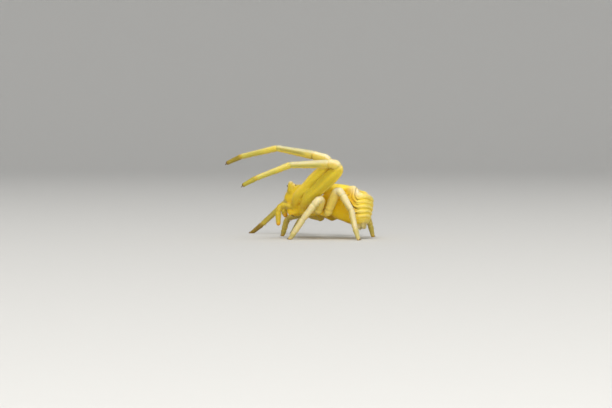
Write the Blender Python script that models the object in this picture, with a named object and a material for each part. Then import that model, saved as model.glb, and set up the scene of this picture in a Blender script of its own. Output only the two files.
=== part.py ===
"""Yellow crab spider, life size: a still model of an adult female standing with its
left front legs drawn up over its back. It faces -X, its left side is towards -Y, and
its feet rest on the plane z = 0.

Lengths below are in millimetres. Each finished mesh is brought to metres at the end.
The body is first shaped upright, in the body's own frame, and then leans to the
right with everything that it carries, as a spider does on uneven legs.
"""
import math

import bmesh
import bpy
from mathutils import Matrix, Vector
from mathutils.bvhtree import BVHTree

MM = 0.001                      # one millimetre in metres
GAP = 0.3                       # clear space between two nodes that meet
CENTRE_SHIFT = (2.40, -1.98)    # brings the middle of the model's box to x = y = 0

# Body
LEAN = math.radians(11.0)       # the left side stands higher than the right
LEAN_HEIGHT = 3.0               # height of the long axis that the body leans about

# Prosoma: side outline as (x, z, rows to the next point), clockwise from the brow
PROSOMA_OUTLINE = (
    (-2.90, 4.62, 3), (-2.35, 4.80, 4), (-1.40, 4.72, 4), (-0.55, 4.30, 3), (0.00, 3.55, 3),
    (0.05, 2.75, 3), (-0.45, 2.12, 3), (-1.35, 1.98, 3), (-2.20, 2.22, 3), (-2.85, 2.85, 3),
    (-3.38, 3.22, 2), (-3.52, 3.55, 2), (-3.36, 4.05, 3),
)
PROSOMA_CENTRE = (-1.55, 3.35)
PROSOMA_FULLNESS = 2.3          # 2 is an ellipse across the body, more is boxier
PROSOMA_COLUMNS = 22
THORAX_HALF_WIDTH = 1.52
FACE_HALF_WIDTH = 1.02
HORN_ROOT = (-2.72, 0.58, 4.05)      # of the eye horn at each corner of the brow
HORN_TIP = (-2.79, 0.92, 5.00)
HORN_RADII = (0.48, 0.19)
KNOB_ROOT = (-2.44, 0.62, 4.20)      # of the knob behind each horn
KNOB_TIP = (-2.50, 0.90, 4.78)
KNOB_RADII = (0.30, 0.14)
EYES = (            # a place that each eye looks out through, the point behind it, its radius
    ((-3.30, 0.20, 4.30), (-1.55, 0.00, 3.35), 0.07),
    ((-3.20, 1.08, 4.62), (-2.76, 0.76, 4.50), 0.09),
    ((-2.98, 0.28, 4.72), (-1.55, 0.00, 3.35), 0.07),
    ((-2.28, 1.00, 4.60), (-2.48, 0.79, 4.50), 0.07),
)
EYE_BULGE = 0.25                # how far an eye's centre stands out, as a share of its radius
MAXILLA_TOP = (-1.86, 0.42, 2.80)    # of the plate behind each jaw
MAXILLA_BOTTOM = (-1.90, 0.40, 1.96)
MAXILLA_RADII = (0.32, 0.28)

# Abdomen: side outline as (x, z, rows to the next point), clockwise from the front top
ABDOMEN_OUTLINE = (
    (0.72, 4.82, 3), (1.75, 4.84, 3), (2.75, 4.65, 3), (3.40, 4.33, 3), (3.92, 4.02, 5),
    (4.48, 3.76, 7), (4.62, 3.12, 7), (4.57, 2.40, 7), (4.48, 1.75, 5), (4.20, 1.28, 3),
    (3.60, 1.08, 3), (2.85, 1.24, 3), (2.10, 1.50, 3), (1.20, 1.88, 3), (0.50, 2.45, 3),
    (0.18, 3.25, 3), (0.24, 4.20, 3),
)
ABDOMEN_CENTRE = (2.55, 2.90)
ABDOMEN_TURN = math.radians(-6.0)    # the abdomen swings to the left about the waist
WAIST_X = 0.30
ABDOMEN_FULLNESS = 2.9
ABDOMEN_COLUMNS = 26
ABDOMEN_FRONT = (0.90, 1.30)         # x and half width of its narrow front
ABDOMEN_REAR = (3.75, 2.00)
HUMP_PLACE = (3.50, 1.56, 4.24)      # the corner hump on each side of the back
HUMP_HEIGHT = 0.62
HUMP_SPREAD = 0.53
RIDGE_START = (0.85, 1.22, 4.54)     # of the ridge that runs along the back to each hump
RIDGE_END = (3.45, 1.66, 4.30)
RIDGE_HEIGHT = 0.12
RIDGE_SPREAD = 0.24
FOLD_VALLEYS = (3.74, 3.12, 2.69, 2.26, 1.85, 1.42)  # heights between folds, at the corners
FOLD_DEPTH = 0.10
FOLD_ARCH = 0.30                     # how much higher a fold is in the middle of the rear
FOLD_CORNER = (3.98, 1.75)           # x and y where the folds turn onto the flank
FOLD_CLIMB = 1.10                    # how steeply they rise forwards there
FOLDS_START = 3.40                   # x where the folds begin
SPINNERET_PLACES = ((3.62, 0.24), (4.02, 0.20))      # x and distance from the middle
SPINNERET_TOP = 1.36
SPINNERET_LENGTHS = (0.62, 0.56)
SPINNERET_RADII = (0.26, 0.17)
PEDICEL_START = (1.40, 0.00, 3.00)   # of the waist, inside the abdomen
PEDICEL_END = (-0.60, 0.00, 2.90)
PEDICEL_RADIUS = 0.34

# Mouthparts, in the body's frame, for the left side
JAW_TOP = (-2.84, 0.48, 3.25)
JAW_BOTTOM = (-2.80, 0.44, 1.93)
JAW_RADII = (0.42, 0.34)
JAW_FLATNESS = 0.78             # width of a jaw as a share of its depth
FANG_LENGTH = 0.24
FANG_RADIUS = 0.09
FANG_ROOT = (0.02, -0.05, 0.12)      # from the end of the jaw
FANG_REACH = (0.10, -0.06)      # how far its tip lies back and inwards of its root
PALP_LEFT = (
    (-2.30, 1.05, 2.62), (-3.12, 1.15, 2.76), (-3.56, 1.20, 2.73), (-3.75, 1.20, 2.15),
    (-3.65, 1.14, 0.90),
)
PALP_RIGHT = (
    (-2.30, 1.05, 2.62), (-3.12, 1.18, 2.90), (-3.62, 1.28, 2.98), (-3.88, 1.26, 2.62),
    (-3.58, 1.04, 2.02),
)
PALP_RADII = (0.25, 0.25, 0.25, 0.26, 0.19)
PALP_BEND = 0.28

# Legs: roots inside the prosoma, in the body's frame for the left side, front to back
LEG_ROOTS = ((-2.00, 0.60, 2.72), (-1.40, 0.70, 2.55), (-0.75, 0.75, 2.35), (-0.20, 0.70, 2.30))

# Legs: places of the joints where the model stands, from the trochanter to the foot
# (trochanter, knee, end of the patella, end of the tibia, end of the metatarsus, tip)
LEG_JOINTS = {
    "left_1": ((-2.22, -1.60, 3.35), (1.70, -2.40, 6.95), (-0.19, -2.45, 7.51),
               (-3.46, -2.65, 8.12), (-6.78, -2.75, 7.35), (-8.20, -2.65, 6.72)),
    "left_2": ((-1.14, -2.30, 3.27), (3.13, -3.60, 6.82), (1.54, -3.80, 6.75),
               (-1.75, -4.50, 6.65), (-4.65, -5.30, 5.48), (-5.83, -5.70, 4.80)),
    "left_3": ((0.10, -1.85, 2.41), (1.03, -3.50, 4.15), (0.18, -3.50, 3.09),
               (-0.80, -3.60, 1.82), (-1.57, -3.65, 0.68), (-2.02, -3.70, 0.00)),
    "left_4": ((0.92, -1.75, 2.19), (2.22, -2.96, 4.71), (2.70, -3.05, 3.93),
               (3.55, -3.30, 2.65), (3.95, -3.55, 1.09), (4.32, -3.65, 0.00)),
    "right_1": ((-2.05, 1.60, 2.80), (-3.45, 5.90, 4.26), (-4.30, 7.00, 3.90),
                (-5.92, 9.10, 2.90), (-8.15, 8.95, 0.86), (-9.20, 8.90, 0.00)),
    "right_2": ((-1.15, 1.80, 2.65), (1.20, 5.60, 3.89), (0.02, 6.10, 3.78),
                (-2.95, 7.30, 3.06), (-4.62, 8.82, 1.00), (-5.42, 9.60, 0.00)),
    "right_3": ((-0.35, 1.60, 1.78), (-2.29, 2.95, 2.20), (-2.95, 3.05, 2.00),
                (-4.17, 3.30, 1.66), (-4.47, 3.36, 0.60), (-4.63, 3.40, 0.00)),
    "right_4": ((0.72, 1.50, 1.75), (1.55, 2.97, 4.09), (2.20, 3.10, 3.55),
                (3.16, 3.35, 2.80), (3.62, 3.52, 1.05), (3.85, 3.60, 0.00)),
}
# Radius at the root, trochanter, start and middle of the femur, knee, end of the patella,
# end of the tibia, end of the metatarsus and tip
FRONT_LEG_RADII = (0.30, 0.41, 0.51, 0.55, 0.45, 0.38, 0.28, 0.24, 0.18)
REAR_LEG_RADII = (0.30, 0.30, 0.36, 0.39, 0.32, 0.32, 0.26, 0.25, 0.17)
FEMUR_PLACES = (0.16, 0.60)     # where its start and middle are, as shares of its length
FRONT_BENDS = (0.50, 0.55, 0.90, 1.20, 0.90)     # radius of the centre line at each joint
REAR_BENDS = (0.40, 0.42, 0.90, 0.80, 0.60)
KNEE_TRIM_SHARE = 0.80          # how much of a short span a bend may take up
LEG_SIDES = 10
RING_STEP = 0.55                # from ring to ring along a straight stretch
BEND_STEP = math.radians(22.0)  # from ring to ring round a bend
KNEE_CUTS = {True: 0.55, False: 0.35}    # from the cut to the knee, of a front leg and a hind one
CLAW_LENGTH = 0.34
CLAW_RADIUS = 0.07
CLAW_DEPTH = 0.12               # how far inside the foot a claw starts
CLAW_DROOP = 0.45
CLAW_SPREAD = 0.07              # from the middle of the tip to each claw

COLOURS = {
    "body": (0.85, 0.60, 0.05),
    "abdomen": (0.90, 0.66, 0.10),
    "leg": (0.88, 0.72, 0.28),
    "jaw": (0.82, 0.50, 0.05),
    "palp": (0.86, 0.56, 0.08),
}


def clear_scene():
    for item in list(bpy.data.objects):
        bpy.data.objects.remove(item, do_unlink=True)


def make_material(name, colour):
    material = bpy.data.materials.new(name)
    material.use_nodes = True
    shader = material.node_tree.nodes["Principled BSDF"]
    shader.inputs["Base Color"].default_value = (*colour, 1.0)
    shader.inputs["Roughness"].default_value = 0.42
    shader.inputs["Metallic"].default_value = 0.0
    return material


def smooth(value, low, high):
    """0 below low, 1 above high and an even rise between them."""
    share = min(max((value - low) / (high - low), 0.0), 1.0)
    return share * share * (3.0 - 2.0 * share)


def lean(point):
    """A point of the body's own frame, placed as the body leans."""
    x, y, z = point
    height = z - LEAN_HEIGHT
    return Vector((x, y * math.cos(LEAN) + height * math.sin(LEAN),
                   LEAN_HEIGHT - y * math.sin(LEAN) + height * math.cos(LEAN)))


def mirrored(point, side):
    """A point of the left side in the body's frame: side is -1 for left, 1 for right."""
    return Vector((point[0], side * point[1], point[2]))


# Outlines, rings and tubes

def closed_outline(points):
    """Points on a smooth closed curve through (x, z), with the asked rows in each span."""
    count = len(points)
    curve = []
    for index in range(count):
        before, start, end, after = (Vector(points[(index + step) % count][:2])
                                     for step in (-1, 0, 1, 2))
        rows = points[index][2]
        for row in range(rows):
            t = row / rows
            curve.append(0.5 * ((2.0 * start) + (end - before) * t
                                + (2.0 * before - 5.0 * start + 4.0 * end - after) * t * t
                                + (3.0 * start - before - 3.0 * end + after) * t ** 3))
    return curve


def body_mesh(outline, centre, fullness, columns, half_width):
    """A closed body with the side outline, as wide at each place as half_width says.

    Its rows run from the left flank over the outline to the right flank.
    """
    bm = bmesh.new()
    curve = closed_outline(outline)
    middle = Vector(centre)
    rows = []
    for edge in curve:
        row = []
        for column in range(1, columns):
            turn = math.pi * column / columns
            reach = math.sin(turn) ** (2.0 / fullness)
            across = math.copysign(abs(math.cos(turn)) ** (2.0 / fullness), math.cos(turn))
            x, z = middle + (edge - middle) * reach
            row.append(bm.verts.new((x, -across * half_width(x, z), z)))
        rows.append(row)
    poles = [bm.verts.new((centre[0], side * half_width(*centre), centre[1])) for side in (-1, 1)]
    for index, row in enumerate(rows):
        following = rows[(index + 1) % len(rows)]
        for column in range(columns - 2):
            bm.faces.new((row[column], row[column + 1], following[column + 1], following[column]))
        bm.faces.new((poles[0], row[0], following[0]))
        bm.faces.new((poles[1], following[-1], row[-1]))
    bmesh.ops.recalc_face_normals(bm, faces=bm.faces)
    return bm


def displace(bm, height_at):
    """Move each vertex along its normal by height_at(its place)."""
    bm.normal_update()
    moves = [(vert, vert.normal * height_at(vert.co)) for vert in bm.verts]
    for vert, move in moves:
        vert.co += move


def rounded_path(joints, bends):
    """A centre line through the joints, with a round bend at each inner one.

    Gives its points, the length along it at each point and at each joint.
    """
    points = [Vector(joints[0])]
    marks = [0]
    for index in range(1, len(joints) - 1):
        before, here, after = (Vector(joints[index + step]) for step in (-1, 0, 1))
        inward = (before - here).normalized()
        outward = (after - here).normalized()
        half = inward.angle(outward) / 2.0
        share = KNEE_TRIM_SHARE if index in (1, 2) else 0.5
        limit = share * min((before - here).length, (after - here).length)
        trim = min(bends[index - 1] / math.tan(half), limit)
        radius = trim * math.tan(half)
        turn = math.pi - 2.0 * half
        steps = max(2, round(turn / BEND_STEP))
        if (here - points[-1]).length < trim:
            trim = (here - points[-1]).length * 0.98
            radius = trim * math.tan(half)
        start = here + inward * trim
        add_straight(points, start)
        hub = here + (inward + outward).normalized() * (radius / math.sin(half))
        spoke = start - hub
        axis = inward.cross(outward).normalized()
        marks.append(len(points) - 1 + steps // 2)
        for step in range(1, steps + 1):
            points.append(hub + Matrix.Rotation(-turn * step / steps, 3, axis) @ spoke)
    add_straight(points, Vector(joints[-1]))
    marks.append(len(points) - 1)
    lengths = [0.0]
    for first, second in zip(points, points[1:]):
        lengths.append(lengths[-1] + (second - first).length)
    return points, lengths, [lengths[mark] for mark in marks]


def add_straight(points, end):
    """Carry the line of points on to end in even steps."""
    start = points[-1]
    steps = max(1, round((end - start).length / RING_STEP))
    points.extend(start.lerp(end, step / steps) for step in range(1, steps + 1))


def radius_along(place, places, radii):
    """Radius at a length along the path, eased from one named place to the next."""
    for index in range(len(places) - 1):
        if place <= places[index + 1]:
            return radii[index] + (radii[index + 1] - radii[index]) * smooth(
                place, places[index], places[index + 1])
    return radii[-1]


def point_at(points, lengths, place):
    for index in range(len(points) - 1):
        if place <= lengths[index + 1]:
            share = (place - lengths[index]) / (lengths[index + 1] - lengths[index])
            return points[index].lerp(points[index + 1], share)
    return points[-1].copy()


def stretch_of(path, start, end):
    """The points of a path from one length along it to another."""
    points, lengths = path
    inner = [(place, point) for place, point in zip(lengths, points)
             if start + 0.12 < place < end - 0.12]
    ends = [(place, point_at(points, lengths, place)) for place in (start, end)]
    return [ends[0]] + inner + [ends[1]]


def tube(stretch, radius_at, sides=LEG_SIDES, floor_flat=False):
    """A closed tube along (length, point) pairs. floor_flat cuts its end flat at z = 0."""
    bm = bmesh.new()
    places = [place for place, point in stretch]
    points = [point for place, point in stretch]
    rings = []
    across = None
    for index, point in enumerate(points):
        ahead = points[min(index + 1, len(points) - 1)]
        behind = points[max(index - 1, 0)]
        along = (ahead - behind).normalized()
        if across is None:
            across = along.cross(Vector((0.0, 0.0, 1.0))).normalized()
        across = (across - along * across.dot(along)).normalized()
        other = along.cross(across)
        radius = radius_at(places[index])
        ring = []
        for side in range(sides):
            turn = math.tau * side / sides
            place = point + radius * (math.cos(turn) * across + math.sin(turn) * other)
            if floor_flat and index == len(points) - 1:
                place -= along * (place.z / along.z)
            ring.append(bm.verts.new(place))
        rings.append(ring)
    for ring, following in zip(rings, rings[1:]):
        for side in range(sides):
            nearby = (side + 1) % sides
            bm.faces.new((ring[side], ring[nearby], following[nearby], following[side]))
    bm.faces.new(reversed(rings[0]))
    bm.faces.new(rings[-1])
    bmesh.ops.recalc_face_normals(bm, faces=bm.faces)
    return bm


def tapered(start, end, radii, sides=8, steps=2):
    """A straight closed cone with a rounded tip, from start to end."""
    start, end = Vector(start), Vector(end)
    length = (end - start).length
    tip = min(radii[1], 0.4 * length)
    stretch = [(step / steps * (length - tip), start.lerp(end, step / steps * (1 - tip / length)))
               for step in range(steps + 1)]
    stretch.append((length - 0.35 * tip, start.lerp(end, 1 - 0.35 * tip / length)))
    stretch.append((length, end))

    def radius_at(place):
        if place > length - 0.01:
            return 0.45 * radii[1]
        if place > length - tip + 0.01:
            return 0.85 * radii[1]
        return radii[0] + (radii[1] - radii[0]) * place / length

    return tube(stretch, radius_at, sides)


# Objects

def new_object(name, bm):
    mesh = bpy.data.meshes.new(name)
    bm.to_mesh(mesh)
    bm.free()
    item = bpy.data.objects.new(name, mesh)
    bpy.context.scene.collection.objects.link(item)
    return item


def apply_boolean(item, operation, others):
    """Join the other closed meshes to item, or cut them from it, and remove them."""
    group = bpy.data.collections.new(item.name + "_pieces")
    bpy.context.scene.collection.children.link(group)
    for other in others:
        bpy.context.scene.collection.objects.unlink(other)
        group.objects.link(other)
    modifier = item.modifiers.new("Boolean", "BOOLEAN")
    modifier.operation = operation
    modifier.operand_type = "COLLECTION"
    modifier.collection = group
    modifier.solver = "EXACT"
    graph = bpy.context.evaluated_depsgraph_get()
    mesh = bpy.data.meshes.new_from_object(item.evaluated_get(graph))
    item.modifiers.clear()
    old_mesh, item.data = item.data, mesh
    bpy.data.meshes.remove(old_mesh)
    for other in others:
        bpy.data.objects.remove(other, do_unlink=True)
    bpy.data.collections.remove(group)
    keep_largest_surface(item)


def keep_largest_surface(item):
    bm = bmesh.new()
    bm.from_mesh(item.data)
    bmesh.ops.remove_doubles(bm, verts=bm.verts, dist=0.002)
    left = set(bm.verts)
    surfaces = []
    while left:
        edge_of_surface = [left.pop()]
        surface = set(edge_of_surface)
        while edge_of_surface:
            vert = edge_of_surface.pop()
            for edge in vert.link_edges:
                other = edge.other_vert(vert)
                if other in left:
                    left.remove(other)
                    surface.add(other)
                    edge_of_surface.append(other)
        surfaces.append(surface)
    largest = max(surfaces, key=len)
    loose = [vert for surface in surfaces if surface is not largest for vert in surface]
    bmesh.ops.delete(bm, geom=loose, context="VERTS")
    bmesh.ops.triangulate(bm, faces=bm.faces)
    bm.to_mesh(item.data)
    bm.free()


def finish_node(item, material):
    """Bring a node to metres, centre it and give it its material and shading."""
    to_metres = Matrix.Scale(MM, 4) @ Matrix.Translation((*CENTRE_SHIFT, 0.0))
    item.data.transform(to_metres)
    item.data.materials.clear()
    item.data.materials.append(material)
    item.data.shade_smooth()
    item.data.set_sharp_from_angle(angle=math.radians(50.0))


def lean_mesh(bm):
    for vert in bm.verts:
        vert.co = lean(vert.co)


# Prosoma

def prosoma_half_width(x, z):
    back = smooth(x, -0.9, 0.6)
    front = smooth(-x, 1.6, 3.0)
    width = THORAX_HALF_WIDTH + (FACE_HALF_WIDTH - THORAX_HALF_WIDTH) * front
    low = smooth(-z, -2.9, -1.9)
    return width * (1.0 - 0.45 * back) * (1.0 - 0.35 * low)


def prosoma_shell(grow=0.0):
    bm = body_mesh(PROSOMA_OUTLINE, PROSOMA_CENTRE, PROSOMA_FULLNESS, PROSOMA_COLUMNS,
                   prosoma_half_width)
    displace(bm, lambda place: grow)
    return bm


def surface_point(forms, behind, through):
    """Where the line from one point out through another leaves the forms, and the normal there."""
    direction = (Vector(through) - Vector(behind)).normalized()
    far = Vector(behind) + direction * 20.0
    hits = [BVHTree.FromBMesh(bm).ray_cast(far, -direction) for bm in forms]
    place, normal, face, distance = min((hit for hit in hits if hit[0]), key=lambda hit: hit[3])
    return place, normal


def eye_piece(place, normal, radius):
    bm = bmesh.new()
    bmesh.ops.create_icosphere(bm, subdivisions=1, radius=radius)
    for vert in bm.verts:
        vert.co += place + normal * (EYE_BULGE * radius)
    return bm


def make_prosoma(material):
    shell = prosoma_shell()
    pieces = []
    for side in (-1, 1):
        for start, end, radii in ((HORN_ROOT, HORN_TIP, HORN_RADII),
                                  (KNOB_ROOT, KNOB_TIP, KNOB_RADII),
                                  (MAXILLA_TOP, MAXILLA_BOTTOM, MAXILLA_RADII)):
            pieces.append(tapered(mirrored(start, side), mirrored(end, side), radii))
        forms = [shell, *pieces]
        for through, behind, radius in EYES:
            place, normal = surface_point(forms, mirrored(behind, side), mirrored(through, side))
            pieces.append(eye_piece(place, normal, radius))
    for bm in [shell] + pieces:
        lean_mesh(bm)
    prosoma = new_object("prosoma", shell)
    apply_boolean(prosoma, "UNION", [new_object("piece", bm) for bm in pieces])
    finish_node(prosoma, material)


def prosoma_cutter():
    """The prosoma with the clear space that its neighbours keep from it."""
    shell = prosoma_shell(GAP)
    lean_mesh(shell)
    return new_object("cutter", shell)


# Abdomen

def abdomen_half_width(x, z):
    (front, narrow), (rear, wide) = ABDOMEN_FRONT, ABDOMEN_REAR
    width = narrow + (wide - narrow) * min((x - front) / (rear - front), 1.0)
    low = smooth(-z, -3.4, -1.0)
    return width * (1.0 - 0.38 * low)


def fold_wave(place):
    """From -0.5 in a valley to 0.5 on a fold, which is arched across the rear."""
    corner_x, corner_y = FOLD_CORNER
    climb = FOLD_CLIMB * max(corner_x - place.x, 0.0)
    arch = FOLD_ARCH * max(1.0 - (place.y / corner_y) ** 2, 0.0)
    level = place.z - climb - arch
    for upper, lower in zip(FOLD_VALLEYS, FOLD_VALLEYS[1:]):
        if lower < level <= upper:
            return math.sin(math.pi * (upper - level) / (upper - lower)) - 0.5
    return 0.0


def abdomen_relief(place):
    """Height of the corner humps, of the ridge to each and of the folds across the rear."""
    folded = Vector((place.x, abs(place.y), place.z))
    hump = math.exp(-((folded - Vector(HUMP_PLACE)).length / HUMP_SPREAD) ** 2)
    start, end = Vector(RIDGE_START), Vector(RIDGE_END)
    share = (folded - start).dot(end - start) / (end - start).length_squared
    on_ridge = start.lerp(end, min(max(share, 0.0), 1.0))
    ridge = math.exp(-((folded - on_ridge).length / RIDGE_SPREAD) ** 2)
    rear = smooth(place.x, FOLDS_START, FOLD_CORNER[0])
    folds = FOLD_DEPTH * rear * (1.0 - hump) * fold_wave(place)
    return HUMP_HEIGHT * hump + RIDGE_HEIGHT * ridge + folds


def make_abdomen(material):
    shell = body_mesh(ABDOMEN_OUTLINE, ABDOMEN_CENTRE, ABDOMEN_FULLNESS, ABDOMEN_COLUMNS,
                      abdomen_half_width)
    displace(shell, abdomen_relief)
    pieces = [tapered(PEDICEL_START, PEDICEL_END, (PEDICEL_RADIUS, PEDICEL_RADIUS))]
    for side in (-1, 1):
        for (x, y), length in zip(SPINNERET_PLACES, SPINNERET_LENGTHS):
            start = mirrored((x, y, SPINNERET_TOP), side)
            end = start + Vector((0.05, side * -0.03, -length))
            pieces.append(tapered(start, end, SPINNERET_RADII))
    waist = Vector((WAIST_X, 0.0, 0.0))
    swing = Matrix.Rotation(ABDOMEN_TURN, 4, "Z")
    turn = Matrix.Translation(waist) @ swing @ Matrix.Translation(-waist)
    for bm in [shell] + pieces:
        bmesh.ops.transform(bm, matrix=turn, verts=bm.verts)
        lean_mesh(bm)
    abdomen = new_object("abdomen", shell)
    apply_boolean(abdomen, "UNION", [new_object("piece", bm) for bm in pieces])
    apply_boolean(abdomen, "DIFFERENCE", [prosoma_cutter()])
    finish_node(abdomen, material)


# Mouthparts

def make_chelicera(name, side, material):
    top, bottom = mirrored(JAW_TOP, side), mirrored(JAW_BOTTOM, side)
    jaw = tapered(top, bottom, JAW_RADII, sides=10, steps=3)
    fang_root = bottom + mirrored(FANG_ROOT, side)
    fang_tip = fang_root + mirrored((*FANG_REACH, -FANG_LENGTH), side)
    fang = tapered(fang_root, fang_tip, (FANG_RADIUS, 0.04), sides=6)
    for vert in jaw.verts:
        vert.co.y = top.y + (vert.co.y - top.y) * JAW_FLATNESS
    for bm in (jaw, fang):
        lean_mesh(bm)
    item = new_object(name, jaw)
    apply_boolean(item, "UNION", [new_object("piece", fang)])
    apply_boolean(item, "DIFFERENCE", [prosoma_cutter()])
    finish_node(item, material)


def make_palp(name, joints, side, material):
    joints = [lean(mirrored(joint, side)) for joint in joints]
    points, lengths, marks = rounded_path(joints, [PALP_BEND] * (len(joints) - 2))
    bm = tube(list(zip(lengths, points)),
              lambda place: radius_along(place, marks, PALP_RADII), sides=8)
    item = new_object(name, bm)
    apply_boolean(item, "DIFFERENCE", [prosoma_cutter()])
    finish_node(item, material)


# Legs

def claw_pair(tip, direction):
    """Two small hooked claws that leave the tip of a raised leg."""
    aside = direction.cross(Vector((0.0, 0.0, 1.0))).normalized()
    droop = Vector((0.0, 0.0, -1.0))
    for side in (-1, 1):
        root = tip - direction * CLAW_DEPTH + aside * side * CLAW_SPREAD
        end = root + (direction + CLAW_DROOP * droop).normalized() * CLAW_LENGTH
        yield tapered(root, end, (CLAW_RADIUS, 0.03), sides=6)


def make_leg(name, joints, material):
    side = -1 if name.startswith("left") else 1
    number = int(name[-1])
    front = number <= 2
    root = lean(mirrored(LEG_ROOTS[number - 1], side))
    joints = [root] + [Vector(joint) for joint in joints]
    points, lengths, marks = rounded_path(joints, FRONT_BENDS if front else REAR_BENDS)
    radii = FRONT_LEG_RADII if front else REAR_LEG_RADII
    femur_places = [marks[1] + share * (marks[2] - marks[1]) for share in FEMUR_PLACES]
    places = marks[:2] + femur_places + marks[2:]
    path = (points, lengths)
    knee_cut = marks[2] - KNEE_CUTS[front]
    tibia_end = marks[4]
    on_floor = joints[-1].z < 0.01

    def radius_at(place):
        return radius_along(place, places, radii)

    femur = tube(stretch_of(path, 0.0, knee_cut - GAP / 2), radius_at)
    tibia = tube(stretch_of(path, knee_cut + GAP / 2, tibia_end - GAP / 2), radius_at)
    foot = tube(stretch_of(path, tibia_end + GAP / 2, lengths[-1]), radius_at,
                floor_flat=on_floor)
    femur_node = new_object("leg_" + name + "_femur", femur)
    apply_boolean(femur_node, "DIFFERENCE", [prosoma_cutter()])
    tibia_node = new_object("leg_" + name + "_tibia", tibia)
    foot_node = new_object("leg_" + name + "_foot", foot)
    if not on_floor:
        direction = (points[-1] - points[-2]).normalized()
        claws = [new_object("piece", bm) for bm in claw_pair(points[-1], direction)]
        apply_boolean(foot_node, "UNION", claws)
    for node in (femur_node, tibia_node, foot_node):
        finish_node(node, material)


def main():
    clear_scene()
    make_prosoma(make_material("body_yellow", COLOURS["body"]))
    make_abdomen(make_material("abdomen_yellow", COLOURS["abdomen"]))
    for side, word in ((-1, "left"), (1, "right")):
        jaw_material = make_material("jaw_amber_" + word, COLOURS["jaw"])
        make_chelicera("chelicera_" + word, side, jaw_material)
        joints = PALP_LEFT if side < 0 else PALP_RIGHT
        make_palp("palp_" + word, joints, side, make_material("palp_" + word, COLOURS["palp"]))
    for name, joints in LEG_JOINTS.items():
        make_leg(name, joints, make_material("leg_" + name, COLOURS["leg"]))


main()
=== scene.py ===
"""Looks of the yellow crab spider: one skin over all of its flesh, its eyes, claws, fangs,
spines and hairs, and a pale stage with soft studio light and the camera.

Shapes are worked out in millimetres. The body is shaped upright, in the body's own frame,
and then leans with all that it carries. Each finished mesh is brought to metres at the end.
The spider faces -X, its left side is towards -Y, and it stands on the plane z = 0.
"""
import math

import bmesh
import bpy
import numpy as np
from bpy.props import FloatProperty, FloatVectorProperty, IntProperty, PointerProperty
from bpy.types import Operator, Panel, PropertyGroup
from mathutils import Matrix, Vector
from mathutils.bvhtree import BVHTree
from mathutils.kdtree import KDTree


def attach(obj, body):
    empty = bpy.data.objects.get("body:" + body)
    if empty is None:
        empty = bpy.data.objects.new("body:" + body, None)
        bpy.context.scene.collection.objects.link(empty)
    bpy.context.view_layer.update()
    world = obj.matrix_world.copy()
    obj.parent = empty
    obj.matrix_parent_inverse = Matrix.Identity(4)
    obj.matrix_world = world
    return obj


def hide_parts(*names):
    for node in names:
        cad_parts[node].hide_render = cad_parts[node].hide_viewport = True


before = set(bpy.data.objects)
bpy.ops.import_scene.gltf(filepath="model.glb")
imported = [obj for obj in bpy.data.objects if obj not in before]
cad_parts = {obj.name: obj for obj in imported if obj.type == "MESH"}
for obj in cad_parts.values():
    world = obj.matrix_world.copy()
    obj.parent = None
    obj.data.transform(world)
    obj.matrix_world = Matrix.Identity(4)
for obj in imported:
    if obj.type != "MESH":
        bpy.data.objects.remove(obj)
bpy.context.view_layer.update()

bl_info = {
    "name": "Yellow Crab Spider",
    "version": (1, 0, 0),
    "blender": (4, 5, 0),
    "location": "View3D > Sidebar > Crab Spider",
    "description": "Dresses the packed crab spider with skin, eyes, claws, spines and hairs",
    "category": "Object",
}

MM = 0.001
CENTRE_SHIFT = (2.40, -1.98)        # brings the middle of the model's box to x = y = 0
LEAN = math.radians(11.0)           # the left side stands higher than the right
LEAN_HEIGHT = 3.0                   # height of the long axis that the body leans about
TO_METRES = Matrix.Scale(MM, 4) @ Matrix.Translation((*CENTRE_SHIFT, 0.0))
MARKS = ("lemon", "cream", "chalk", "amber", "moss", "umber", "fur")
MARKS_IN_ORDER = ("moss", "amber", "lemon", "cream", "chalk", "umber")      # later ones lie on top
SIDES = (-1, 1)                     # left and right
UP = (0.0, 0.0, 1.0)
FINE_STEPS = 3000                   # points that even out the columns of a body

# Prosoma: side outline as (x, z, rows to the next point), clockwise from the brow
PROSOMA_OUTLINE = (
    (-2.90, 4.62, 3), (-2.35, 4.80, 4), (-1.40, 4.72, 4), (-0.55, 4.30, 3), (0.00, 3.55, 3),
    (0.05, 2.75, 3), (-0.45, 2.12, 3), (-1.35, 1.98, 3), (-2.20, 2.22, 3), (-2.85, 2.85, 3),
    (-3.38, 3.22, 2), (-3.52, 3.55, 2), (-3.36, 4.05, 3),
)
PROSOMA_CENTRE = (-1.55, 3.35)
PROSOMA_FULLNESS = 2.3              # 2 is an ellipse across the body, more is boxier
PROSOMA_COLUMNS = 96
PROSOMA_ROWS = 3                    # rows here for each row that the outline names
THORAX_HALF_WIDTH = 1.52
FACE_HALF_WIDTH = 1.02
BROW_POINTS = (     # root, tip and radii of each horn, and of the pale knob behind it
    ((-2.72, 0.58, 4.05), (-2.79, 0.92, 5.00), (0.48, 0.19)),
    ((-2.44, 0.62, 4.20), (-2.50, 0.90, 4.78), (0.30, 0.14)),
)
BROW_POINT_SIDES = 24
EYES = (            # a place that each eye looks out through, the point behind it, its radius
    ((-3.30, 0.20, 4.30), (-1.55, 0.00, 3.35), 0.07),
    ((-3.26, 0.90, 4.60), (-2.76, 0.76, 4.50), 0.07),
    ((-2.98, 0.28, 4.72), (-1.55, 0.00, 3.35), 0.07),
    ((-2.30, 0.88, 4.66), (-2.50, 0.80, 4.50), 0.055),
)
EYE_STAND = 0.035                   # how far the skin round an eye is raised
EYE_SEARCH = 20.0                   # how far out the search for an eye's place begins
BROW = ((-2.86, -0.60, 4.60), (-2.86, 0.60, 4.60))          # the pale bar between the horns
BROW_HEIGHT = 0.10
FOVEA = (-0.95, 0.0, 4.60)          # the pit in the middle of the carapace
FOVEA_DEPTH = 0.07
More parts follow.
